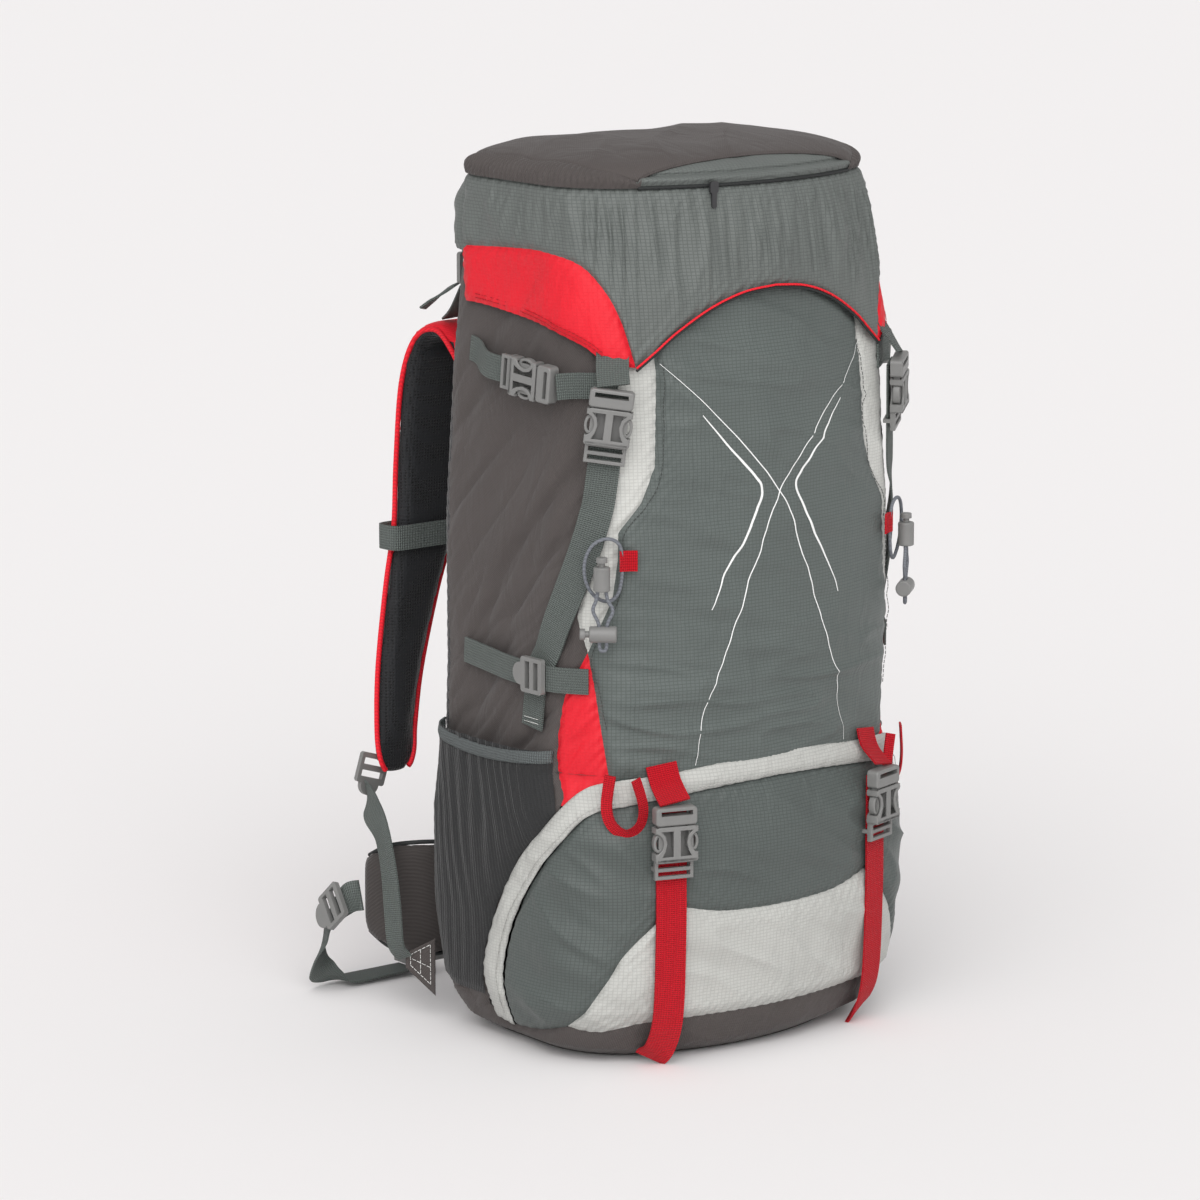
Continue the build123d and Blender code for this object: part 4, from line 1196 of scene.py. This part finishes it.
STERNUM_Z, STERNUM_Y, BAND_Y = 380, 193.5, 171
for side, sign in (("left", -1), ("right", 1)):
    run = [
        ((sign * 78, BAND_Y, STERNUM_Z), (0, -1, 0)),
        ((sign * 110, BAND_Y, STERNUM_Z), (0, -1, 0)),
        ((sign * 139, BAND_Y, STERNUM_Z), (0, -1, 0)),
        ((sign * 145, 183, STERNUM_Z), (sign, 0, 0)),
        ((sign * 139, STERNUM_Y, STERNUM_Z), (0, 1, 0)),
        ((sign * 100, STERNUM_Y, STERNUM_Z), (0, 1, 0)),
        ((sign * 60, STERNUM_Y, STERNUM_Z), (0, 1, 0)),
    ]
    if side == "left":
        run += [((-44, STERNUM_Y + 2, STERNUM_Z), OUT), ((-24, STERNUM_Y + BUCKLE_MIDDLE, STERNUM_Z), OUT)]
    else:
        run += [((38, STERNUM_Y, STERNUM_Z), OUT), ((-14, STERNUM_Y, STERNUM_Z), OUT)]
    straps(
        f"{side}_sternum_tape", [run], 20, grey_webbing, f"{side}_sternum_webbing", body=f"{side}_shoulder",
        pair=False,
    )

LOWER_STRAP = (
    ((-158, 192, 170), (-0.2, 0.97, 0.1)),
    ((-171, 168, 160), (-0.5, 0.6, 0.6)),
    ((-181, 140, 148), (-0.9, 0.2, 0.3)),
    ((-187, 122, 120), (-1, 0, 0.1)),
    ((-188, 116, 90), (-1, -0.1, 0)),
    ((-188, 112, 62), (-1, -0.1, -0.2)),
    ((-182, 108, 51), (-0.8, -0.2, -0.6)),
)


def bending_strap(name, side, stations, width, node):
    """A strap between the pack and one shoulder strap, which turns smoothly from one to the other."""
    sign = 1 if side == "left" else -1
    run = [((sign * p[0], p[1], p[2]), (sign * f[0], f[1], f[2])) for p, f in stations]
    made = straps(f"{side}_{name}", [run], width, grey_webbing, node, body=None, pair=False)
    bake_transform(made)


for side in ("left", "right"):
    bending_strap("load_lifter_tape", side, LIFTER, 16, "load_lifters")
    bending_strap("lower_strap_tape", side, LOWER_STRAP, 20, "lower_webbing")

for side, sign in (("left", 1), ("right", -1)):
    run = [
        ((-177, 175.5, 88), (-1, 0, 0)),
        ((-182, 186, 84), (-1, 0.1, 0)),
        ((-186, 204, 66), (-0.9, 0.5, 0.2)),
        ((-186, 214, 47), (-0.85, 0.5, 0.15)),
        ((-187, 221, 29), (-0.6, 0.75, 0.3)),
        ((-183, 224, 15), (-0.25, 0.7, 0.65)),
        ((-171, 225, 7), (0, 0.45, 0.9)),
        ((-158, 224, 3.6), (0, 0, 1)),
        ((-126, 224, 3.6), (0, 0, 1)),
        ((-96, 224, 3.6), (0, 0, 1)),
    ]
    run = [((sign * p[0], p[1], p[2]), (sign * f[0], f[1], f[2])) for p, f in run]
    straps(f"{side}_hip_tape", [run], 25, grey_webbing, f"{side}_hip_webbing", body=f"{side}_hip", pair=False)


# ---------------------------------------------------------------- padded pieces


def swell(made, pressure, cap, voxel=0.005):
    """Puff a pad up with a short cloth simulation, moving no point further than the cap in metres."""
    remesh = made.modifiers.new("voxels", "REMESH")
    remesh.mode = "VOXEL"
    remesh.voxel_size = voxel
    apply_modifiers(made)
    before = [v.co.copy() for v in made.data.vertices]
    cloth = made.modifiers.new("cloth", "CLOTH")
    cloth.settings.use_pressure = True
    cloth.settings.uniform_pressure_force = pressure
    cloth.settings.quality = 5
    cloth.settings.tension_stiffness = 20
    cloth.settings.compression_stiffness = 12
    cloth.settings.bending_stiffness = 0.8
    cloth.settings.effector_weights.gravity = 0
    cloth.collision_settings.use_collision = False
    cloth.point_cache.frame_start = 1
    cloth.point_cache.frame_end = 20
    for number in range(1, 21):
        bpy.context.scene.frame_set(number)
    apply_modifiers(made)
    for vertex, origin in zip(made.data.vertices, before):
        moved = vertex.co - origin
        if moved.length > cap:
            vertex.co = origin + moved * (cap / moved.length)
    bpy.context.scene.frame_set(1)
    made.data.polygons.foreach_set("use_smooth", [True] * len(made.data.polygons))
    return made


def apply_modifiers(made):
    """Bake an object's modifiers into its own mesh."""
    depsgraph = bpy.context.evaluated_depsgraph_get()
    mesh = bpy.data.meshes.new_from_object(made.evaluated_get(depsgraph))
    made.modifiers.clear()
    made.data = mesh


def pad_mesh(stations, ring=20, steps=6):
    """A closed soft strip through stations of (point, face, width, thickness)."""
    count = (len(stations) - 1) * steps + 1
    fine = smooth_any([(*point, *face, width, thick) for point, face, width, thick in stations], count)
    vertices = []
    for index, row in enumerate(fine):
        here, across, out = strip_frame(fine, index)
        close = 0.86 if index in (0, count - 1) else 1
        for corner in range(ring):
            angle = 2 * pi * corner / ring
            u = abs(cos(angle)) ** 0.45 * (1 if cos(angle) >= 0 else -1)
            v = abs(sin(angle)) ** 0.7 * (1 if sin(angle) >= 0 else -1)
            vertices.append(here + across * (u * row[6] / 2 * close) + out * (v * row[7] / 2 * close))
    faces = grid_faces(count, ring, closed=True)
    faces.append(tuple(range(ring - 1, -1, -1)))
    faces.append(tuple((count - 1) * ring + i for i in range(ring)))
    return vertices, faces, fine


def paint_face(made, fine, material, sign):
    """Give the faces that look along (or against) the strip's own face a second material."""
    made.data.materials.append(material)
    centres = [(Vector(row[:3]) * MM, Vector(row[3:6])) for row in fine]
    for polygon in made.data.polygons:
        _, face = min(centres, key=lambda c: (c[0] - polygon.center).length_squared)
        polygon.material_index = 1 if polygon.normal.dot(face) * sign > 0.25 else 0


EDGE_INSET = 1.2


def edge_points(fine, side, out=0.0):
    """Points along one edge of a strip, a little inside it."""
    points = []
    for index, row in enumerate(fine):
        here, across, normal = strip_frame(fine, index)
        points.append(here + across * (side * (row[6] / 2 - EDGE_INSET)) + normal * out)
    return points


SHOULDER_STRAP = (
    ((-92, 112, 512), (0, -0.87, 0.5), 50, 9),
    ((-96, 122, 538), (0, -0.72, 0.69), 56, 11),
    ((-99, 139, 552), (0, 0, 1), 60, 12),
    ((-102, 158, 541), (0, 0.75, 0.66), 64, 12),
    ((-104, 171, 505), (0, 0.97, 0.25), 66, 12),
    ((-104, 179, 440), (0, 1, 0.06), 66, 12),
    ((-106, 183, 385), (-0.05, 1, 0), 64, 12),
    ((-116, 186, 335), (-0.08, 1, 0), 58, 12),
    ((-127, 188, 270), (-0.1, 1, 0), 50, 12),
    ((-132, 187, 222), (-0.1, 1, 0), 44, 11),
    ((-133, 185, 200), (-0.1, 1, 0), 40, 9),
    ((-133.5, 184, 188), (-0.1, 1, 0), 30, 7),
    ((-133.5, 184, 182), (-0.1, 1, 0), 12, 5),
)


def turned_right(table):
    return [((-p[0], p[1], p[2]), (-f[0], f[1], f[2]), *sizes) for p, f, *sizes in table]


for side, table in (("left", SHOULDER_STRAP), ("right", turned_right(SHOULDER_STRAP))):
    vertices, faces, fine = pad_mesh(table)
    if side == "right":
        faces = [tuple(reversed(face)) for face in faces]
    pad = make_object(f"{side}_shoulder_pad", f"{side}_shoulder", black_mesh, vertices, faces)
    swell(pad, 3.0, 0.003)
    paint_face(pad, fine, red_pad, 1)
    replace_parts(pad, f"{side}_shoulder_strap")
    for edge, number in ((-1, 1), (1, 2)):
        points = edge_points(fine, edge, 0.5)[3:-5]
        tube(f"{side}_shoulder_binding_{number}", f"{side}_shoulder", red_piping, points, 2.2)

HIP_WING = (
    ((-99, 114, 92), (0, -1, 0), 84, 7),
    ((-132, 116, 92), (-0.1, -1, 0), 94, 10),
    ((-156, 127, 92), (-0.6, -0.8, 0), 96, 10),
    ((-170, 147, 92), (-0.9, -0.4, 0), 86, 10),
    ((-176, 170, 92), (-1, -0.1, 0), 60, 9),
)
for side, table in (("left", HIP_WING), ("right", turned_right(HIP_WING))):
    vertices, faces, fine = pad_mesh(table, steps=8)
    if side == "right":
        faces = [tuple(reversed(face)) for face in faces]
    pad = make_object(f"{side}_hip_pad", f"{side}_hip", wing_cloth, vertices, faces)
    swell(pad, 3.0, 0.0015)
    paint_face(pad, fine, black_mesh, -1)
    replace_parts(pad, f"{side}_hip_wing")
    for edge, number in ((-1, 1), (1, 2)):
        points = edge_points(fine, edge)[2:-2]
        tube(f"{side}_hip_binding_{number}", f"{side}_hip", dark_thread, points, 1.8)


def cushion(name, x, z, width, height, depth, y=104.4):
    """A crowned back pad that lies on the back panel."""
    rows, columns = 28, 18
    vertices = []
    for layer in (0, 1):
        for row in range(rows + 1):
            for column in range(columns + 1):
                u, v = column / columns * 2 - 1, row / rows * 2 - 1
                squareness = (1 - abs(u) ** 5) ** 0.5 * (1 - abs(v) ** 7) ** 0.5
                pull = 1 - 0.04 * (abs(u) ** 2 * (1 - abs(v)) + abs(v) ** 2 * (1 - abs(u)))
                rise = layer * (1.5 + depth * squareness)
                vertices.append(Vector((x + u * width / 2 * pull, y + rise, z + v * height / 2 * pull)))
    size = (rows + 1) * (columns + 1)
    under = grid_faces(rows + 1, columns + 1)
    faces = under + [tuple(i + size for i in reversed(face)) for face in under]
    edge = [row * (columns + 1) for row in range(rows + 1)]
    edge += [rows * (columns + 1) + c for c in range(1, columns + 1)]
    edge += [row * (columns + 1) + columns for row in range(rows - 1, -1, -1)]
    edge += [c for c in range(columns - 1, 0, -1)]
    for a, b in zip(edge, edge[1:] + edge[:1]):
        faces.append((a, b, b + size, a + size))
    return make_object(name, "pack_body", black_mesh, vertices, faces)


pads = [
    cushion("left_back_pad", -62, 345, 76, 288, 9),
    cushion("right_back_pad", 62, 345, 76, 288, 9),
    cushion("lumbar_pad", 0, 105, 188, 128, 13),
]
for pad in pads:
    swell(pad, 2.0, 0.002)
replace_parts(pads[0], "back_pads")


# ---------------------------------------------------------------- elastic cords, tabs and loops


def local_point(spot, right, up, out):
    point, face = spot
    return point + Vector((-face.y * right + face.x * out, face.x * right + face.y * out, up))


bungee_spot = corner_place(375, 50, 7)
CORD = 2.8
RING_ROUTE = (
    (10.4, 29.5, -0.4),
    (10.4, 41, 0.2),
    (1, 48, 3),
    (-12, 44, 4.6),
    (-19, 30, 4.8),
    (-18, 12, 3.6),
    (-9, -1, 1.6),
    (3, -3, 0.6),
    (10.4, 9, -0.2),
    (10.4, 28.5, -0.4),
)
LOOP_ROUTE = (
    (-8, 11, 10.5),
    (-8.2, 1, 10.6),
    (-13, -7, 10.8),
    (-7, -17, 10.5),
    (-6.4, -28, 10.3),
    (-7, -39, 10.5),
    (-1, -39, 10.5),
    (-1.6, -28, 10.7),
    (-1, -17, 10.5),
    (5, -7, 10.8),
    (-1.8, 1, 10.6),
    (-2, 11, 10.5),
)


def cord_curve(name, route, sign):
    """An elastic cord on a NURBS line with the route's points as its control points."""
    data = bpy.data.curves.new(name, "CURVE")
    data.dimensions = "3D"
    data.bevel_depth = CORD / 2 * MM
    data.bevel_resolution = 4
    data.use_fill_caps = True
    spline = data.splines.new("NURBS")
    spline.points.add(len(route) - 1)
    for point, place in zip(spline.points, route):
        spot = local_point(bungee_spot, *place) * MM
        point.co = (sign * spot.x, spot.y, spot.z, 1)
    spline.order_u = 3
    spline.use_endpoint_u = True
    spline.resolution_u = 8
    data.materials.append(grey_cord)
    made = bpy.data.objects.new(name, data)
    bpy.context.scene.collection.objects.link(made)
    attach(made, "pack_body")
    start = spline.points[0].co[:3]
    return made, start


for side, sign in (("left", 1), ("right", -1)):
    ring, start = cord_curve(f"{side}_bungee_ring", RING_ROUTE, sign)
    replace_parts(ring, f"{side}_bungee_cords")
    loop, start = cord_curve(f"{side}_bungee_loop", LOOP_ROUTE, sign)


def loop_station(spot, right, up, out, face):
    along = Vector((-spot[1].y, spot[1].x, 0))
    lean = along * face[0] + Vector((0, 0, face[1]))
    return local_point(spot, right, up, out), lean * 0.5 + spot[1] * 0.87


loop_spot = corner_place(212, 64, 10)
tool_loop = [
    loop_station(loop_spot, -15, 26, 0, (-1, 0)),
    loop_station(loop_spot, -18, 2, 0, (-1, 0)),
    loop_station(loop_spot, -14, -13, 0, (-0.8, -0.6)),
    loop_station(loop_spot, -3, -21, 0, (0, -1)),
    loop_station(loop_spot, 8, -15, 0, (0.8, -0.6)),
    loop_station(loop_spot, 11, 0, 0, (1, 0)),
    loop_station(loop_spot, 5, 22, 0, (1, 0.2)),
]
tab = [
    (local_point(bungee_spot, 22, 29, -1.8), bungee_spot[1]),
    (local_point(bungee_spot, 14, 29, -1.0), bungee_spot[1]),
    (local_point(bungee_spot, 8.6, 29, 1.2), bungee_spot[1]),
]
straps("red_tool_loops", [tool_loop], 9, red_webbing, "red_loops", thickness=1.4)
straps("red_bungee_tabs", [tab], 16, red_webbing, None, thickness=1.6)


# ---------------------------------------------------------------- buckle sockets


def ellipse(x, y, radius_x, radius_y, count=28):
    return [
        (x + radius_x * cos(2 * pi * i / count), y + radius_y * sin(2 * pi * i / count)) for i in range(count)
    ]


def socket_outline(half, length, web):
    """Half of a socket's outline, from its mouth to its ladder end, then mirrored to the other half."""
    bite = [
        (13 + 8.5 * cos(pi * (1 - i / 12)), half + 1.2 - 7.6 * sin(pi * i / 12)) for i in range(13)
    ]
    inner = [(x, y) for x, y in bite if y < half]
    upper = [(0, half - 3), (1, half - 0.8), (3, half)] + inner
    upper += [(26, half), (28, half - 0.8), (29, web / 2 + 3.4)]
    upper += [(length - 1, web / 2 + 3.4), (length, web / 2 + 2)]
    return upper + [(x, -y) for x, y in reversed(upper)]


def socket_windows(half):
    """The openings either side of the middle bar."""
    windows = []
    for side in (-1, 1):
        edge = [(3.5, half - 4.5), (7, half - 8), (13, half - 9.4), (19, half - 8), (23.6, half - 5.5)]
        windows.append([(3.5, side * 3.0)] + [(x, side * y) for x, y in edge] + [(23.6, side * 3.0)])
    return windows


def plate(outline, holes, low, high, bevel=0.5):
    """Vertices and faces of a flat moulded plate with rounded edges, in a buckle's own millimetres."""
    data = bpy.data.curves.new("plate_outline", "CURVE")
    data.dimensions = "2D"
    data.fill_mode = "BOTH"
    data.extrude = (high - low) / 2 - bevel
    data.bevel_depth = bevel
    data.bevel_resolution = 2
    data.offset = -bevel
    for ring in [outline] + holes:
        spline = data.splines.new("POLY")
        spline.points.add(len(ring) - 1)
        for point, (x, y) in zip(spline.points, ring):
            point.co = (x, y, 0, 1)
        spline.use_cyclic_u = True
    shape = bpy.data.objects.new("plate_outline", data)
    bpy.context.scene.collection.objects.link(shape)
    mesh = bpy.data.meshes.new_from_object(shape.evaluated_get(bpy.context.evaluated_depsgraph_get()))
    vertices = [Vector((v.co.x, v.co.y, v.co.z + (low + high) / 2)) for v in mesh.vertices]
    faces = [tuple(polygon.vertices) for polygon in mesh.polygons]
    bpy.data.objects.remove(shape)
    return vertices, faces


BUCKLE_LOW, BUCKLE_HIGH = 2.6, 13.2
SHELL = 1.9  # thickness of a socket's front and back walls


def box(start, end, half, other=None):
    """The outline of a rectangle from start to end along the buckle, between half and other across it."""
    other = -half if other is None else other
    return [(start, other), (end, other), (end, half), (start, half)]


def socket_plates(web):
    """All the plates of one side-release socket for webbing of this width."""
    half = web / 2 + 5
    length = 43
    slots = [box(start, end, web / 2 + 0.7) for start, end in ((30.3, 33.7), (36.8, 40.2))]
    shell = [(min(x, 28), y) for x, y in socket_outline(half, length, web) if x < 29]
    parts = [
        plate(shell, socket_windows(half), BUCKLE_HIGH - SHELL, BUCKLE_HIGH, 0.6),
        plate(shell, [], BUCKLE_LOW, BUCKLE_LOW + SHELL),
        plate(box(25.4, 28, half - 1), [], BUCKLE_LOW, BUCKLE_HIGH, 0.4),
        plate(box(27, length, web / 2 + 3.4), slots, BUCKLE_LOW, BUCKLE_LOW + 4.4, 0.7),
        plate(box(33.9, 36.5, web / 2 + 3.2), [], -3.0, -1.4, 0.3),
    ]
    for side in (-1, 1):
        for start, end in ((0.6, 5), (21, 27)):
            wall = box(start, end, side * half, side * (half - 2))
            parts.append(plate(wall, [], BUCKLE_LOW + 0.4, BUCKLE_HIGH - 0.4))
        lug = box(33.7, 36.7, side * (web / 2 + 3.3), side * (web / 2 + 1))
        parts.append(plate(lug, [], -2.8, BUCKLE_LOW + 2, 0.3))
    return parts


def lobe_plates(web):
    """The two finger rings of a plug, which show in the socket's waist."""
    half = web / 2 + 5
    parts = []
    for side in (-1, 1):
        middle = side * (half - 3.4)
        hole = ellipse(13, middle, 5.0, 2.2, 20)
        parts.append(plate(ellipse(13, middle, 7.6, 4.4), [hole], 5.2, 10.6, 0.6))
    return parts


def on_buckle(name, body, parts, origin, along, face, mirror=False):
    """Join plates into one object that lies on a buckle's plane."""
    across = face.cross(along)
    vertices, faces = [], []
    for points, sides in parts:
        start = len(vertices)
        vertices += [origin + along * p.x + across * p.y + face * p.z for p in points]
        faces += [tuple(i + start for i in side) for side in sides]
    if mirror:
        vertices, faces = mirrored(vertices, faces)
    made = make_object(name, body, buckle_plastic, vertices, faces)
    sharpen(made, 35)
    return made


BUCKLES = (
    ("upper", 20, upper_point, upper_along, upper_face, "pack_body"),
    ("lid", 25, lid_point, lid_along, lid_face, "lid"),
    ("front", 25, front_point, down, front_face, "pack_body"),
)
for kind, web, origin, along, face, plug_body in BUCKLES:
    socket_parts, lobe_parts = socket_plates(web), lobe_plates(web)
    for side in ("left", "right"):
        is_right = side == "right"
        socket = on_buckle(
            f"{side}_{kind}_socket_moulding", f"{side}_{kind}_buckle", socket_parts, origin, along, face,
            is_right,
        )
        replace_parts(socket, f"{side}_{kind}_socket")
        on_buckle(f"{side}_{kind}_plug_lobes", plug_body, lobe_parts, origin, along, face, is_right)


# ---------------------------------------------------------------- printed lines on the front

PRINTED = (
    (((102, 553), (53, 506), (0, 447), (-22, 397), (-48, 330), (-68, 285), (-75, 238)), 1.1),
    (((70, 512), (44, 482), (24, 461), (18, 449), (30, 420), (50, 388), (63, 360)), 2.2),
)


def printed_line(name, points, width):
    """A thin printed line that follows the front panel's folds and tapers to its ends."""
    fine = smooth(points, 90)
    vertices = []
    for index, here in enumerate(fine):
        along = (fine[min(index + 1, 89)] - fine[max(index - 1, 0)]).normalized()
        across = Vector((-along.y, along.x))
        taper = 0.35 + 0.65 * sin(pi * index / 89)
        for side in (-1, 0, 1):
            s, z = here + across * (side * width / 2 * taper)
            vertices.append(surface(BAG, s, z, 1.6 + front_folds(s, z) + 0.35)[0])
    return make_object(name, "pack_body", white_print, vertices, grid_faces(90, 3))


for number, (points, width) in enumerate(PRINTED, 1):
    printed_line(f"printed_line_left_{number}", points, width)
    printed_line(f"printed_line_right_{number}", flip(points), width)


# ---------------------------------------------------------------- small flat pieces of cloth


def patch(name, body, material, corners, face, relief, thickness, node, mirror=False):
    """Cloth between two edges, each a pair of corners, with a hem all round and its own relief."""
    size = 48
    (low_start, high_start), (low_end, high_end) = [[Vector(p) for p in edge] for edge in corners]
    vertices = []
    uvs = []
    for row in range(size + 1):
        u = row / size
        low, high = low_start.lerp(low_end, u), high_start.lerp(high_end, u)
        for column in range(size + 1):
            v = column / size
            flat = low.lerp(high, v)
            edge = min(u * (low_end - low_start).length, (1 - u) * (low_end - low_start).length,
                       v * (high - low).length, (1 - v) * (high - low).length)
            hem = 0.5 * (1 - exp(-edge / 0.8)) - 0.45 * exp(-(((edge - 5) / 0.9) ** 2))
            point = flat + face * (hem + relief(flat))
            vertices.append(Vector((-point.x, point.y, point.z)) if mirror else point)
            uvs.append((flat.x, flat.z))
    faces = grid_faces(size + 1, size + 1)
    if mirror:
        faces = [tuple(reversed(side)) for side in faces]
    made = make_object(name, body, material, vertices, faces, uvs)
    thicken(made, thickness)
    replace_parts(made, node)
    return made


def flap_relief(point):
    return 0.9 * noise.noise(Vector((point.x / 26, point.z / 60, 91)))


def tab_relief(point):
    return 0.5 * noise.noise(Vector((point.x / 9, point.z / 12, 95)))


patch(
    "lid_back_flap_cloth", "lid", side_cloth, (((48, 0, 540), (48, 0, 646)), ((-48, 0, 540), (-48, 0, 646))),
    Vector((0, 1, 0)), lambda point: 105.4 + flap_relief(point), 1.8, "lid_flap",
)
TAB_CORNER = Vector((-160, 96.5, 46))
TAB_SIDE, TAB_UP, TAB_FACE = Vector((-0.8, 0.6, 0)), Vector((0, 0, 1)), Vector((-0.6, -0.8, 0))
TAB_EDGES = (((0, -28), (0, 20)), ((24, -4), (24, 8)))
tab_edges = [[TAB_CORNER + TAB_SIDE * x + TAB_UP * z for x, z in edge] for edge in TAB_EDGES]
for side in ("left", "right"):
    patch(
        f"{side}_corner_tab_cloth", "pack_body", side_cloth, tab_edges, TAB_FACE,
        lambda point: 1.3 + tab_relief(point), 3.0, "corner_tabs", mirror=side == "right",
    )


# ---------------------------------------------------------------- stitching


def stitches(name, body, lines, material, dash=2.6, gap=1.1, radius=0.32):
    """Short thread dashes along lines of points, joined into one object."""
    vertices, faces = [], []
    for line in lines:
        points = [Vector(p) for p in line]
        length = sum((b - a).length for a, b in zip(points, points[1:]))
        count = max(2, int(length / (dash + gap)) * 4)
        fine = evenly(points, count + 1)
        for index in range(0, count - 3, 4):
            start, end = fine[index], fine[index + 3]
            along = (end - start).normalized()
            out = along.orthogonal().normalized()
            side = along.cross(out)
            first = len(vertices)
            for here in (start, end):
                for corner in range(5):
                    angle = 2 * pi * corner / 5
                    vertices.append(here + (out * cos(angle) + side * sin(angle)) * radius)
            faces += [tuple(first + i for i in (c, (c + 1) % 5, 5 + (c + 1) % 5, 5 + c)) for c in range(5)]
    return make_object(name, body, material, vertices, faces)


def on_side(points, sign):
    """The points as they are, or mirrored to the other side of the bag where the sign is -1."""
    return [(sign * p.x, p.y, p.z) for p in points]


def on_bag(table, points, folds, away):
    """Points of a curve of (distance, height) laid on the folded fabric."""
    return [surface(table, s, z, away + folds(s, z))[0] for s, z in points]


seam_thread = thread("seam_thread", (0.05, 0.056, 0.053))
light_thread = thread("light_thread", (0.42, 0.42, 0.40))
red_thread = thread("red_thread", (0.42, 0.006, 0.014))

lines = []
for sign in (1, -1):
    inside = [(sign * (s - 4.5), z) for s, z in front_edge[1:-1]]
    lines.append(on_bag(BAG, curve(inside, 160), front_folds, 1.9))
stitches("front_seam_stitches", "pack_body", lines, seam_thread)

lines = []
for sign in (1, -1):
    for drop in (4, 7):
        edge = [(sign * s, z + drop) for s, z in LEAF_BOTTOM[1:-1]]
        lines.append(on_bag(LID, curve(edge, 120), side_folds, 2.0))
stitches("leaf_stitches", "lid", lines, red_thread)

flap_row = [tuple((Vector(a) * 0.82 + Vector(b) * 0.18)) for a, b in zip(flap_inner, flap_outer)][4:-4]
lines = [on_bag(BAG, flap_row, lambda s, z: lower_folds(s, z) * 0.25, 3.7)]
stitches("zip_flap_stitches", "pack_body", lines, light_thread)

TAB_STITCHES = (
    ((4, -18), (4, 15), (20, 7), (20, -2), (4, -18)),
    ((4, -4), (20, 4)),
    ((12, 11), (12, -10)),
)
lines = []
for sign in (1, -1):
    for route in TAB_STITCHES:
        points = [TAB_CORNER + TAB_SIDE * x + TAB_UP * z + TAB_FACE * 2.2 for x, z in route]
        lines.append(on_side(points, sign))
stitches("corner_tab_stitches", "pack_body", lines, white_thread)

lines = []
for sign in (1, -1):
    for z in (270, 273.5):
        start, _ = side_place(z, -52, 3.6)
        end, _ = side_place(z, -34, 3.6)
        lines.append(on_side((start, end), sign))
stitches("lid_strap_bar_tacks", "pack_body", lines, white_thread, dash=1.2, gap=0.4)


# ---------------------------------------------------------------- carried-over CAD nodes

PLASTIC_NODES = [
    "lid_plugs", "strap_plugs", "ladder_locks", "cord_lock_bodies", "sternum_plug", "sternum_socket",
    "hip_plug", "hip_socket",
]
for side in ("left", "right"):
    PLASTIC_NODES += [
        f"{side}_upper_plunger", f"{side}_lower_plunger", f"{side}_strap_lock", f"{side}_hip_adjuster"
    ]


def coat(node, material):
    """Give a CAD node a better material without touching its mesh."""
    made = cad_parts[node]
    if not made.material_slots:
        made.data.materials.append(material)
    for place in made.material_slots:
        place.material = material


for node in PLASTIC_NODES:
    coat(node, buckle_plastic)
coat("lid_zip_slider", dark_plastic)
coat("frame_sheet", plastic("frame_sheet_plastic", (0.55, 0.55, 0.52), 0.5))
coat("frame_stays", plastic("stay_alloy", (0.5, 0.5, 0.51), 0.3))


# ---------------------------------------------------------------- floor

floor_mesh = bpy.data.meshes.new("floor")
FLOOR_REACH, FLOOR_HEIGHT = 30, -0.0012
around = ((-1, -1), (1, -1), (1, 1), (-1, 1))
floor_corners = [(x * FLOOR_REACH, y * FLOOR_REACH, FLOOR_HEIGHT) for x, y in around]
floor_mesh.from_pydata(floor_corners, [], [(0, 1, 2, 3)])
floor = bpy.data.objects.new("floor", floor_mesh)
bpy.context.scene.collection.objects.link(floor)
floor_paint = Shader("floor_paint")
floor_paint.surface.inputs["Base Color"].default_value = (0.86, 0.845, 0.845, 1)
floor_paint.surface.inputs["Roughness"].default_value = 0.9
floor_mesh.materials.append(floor_paint.material)
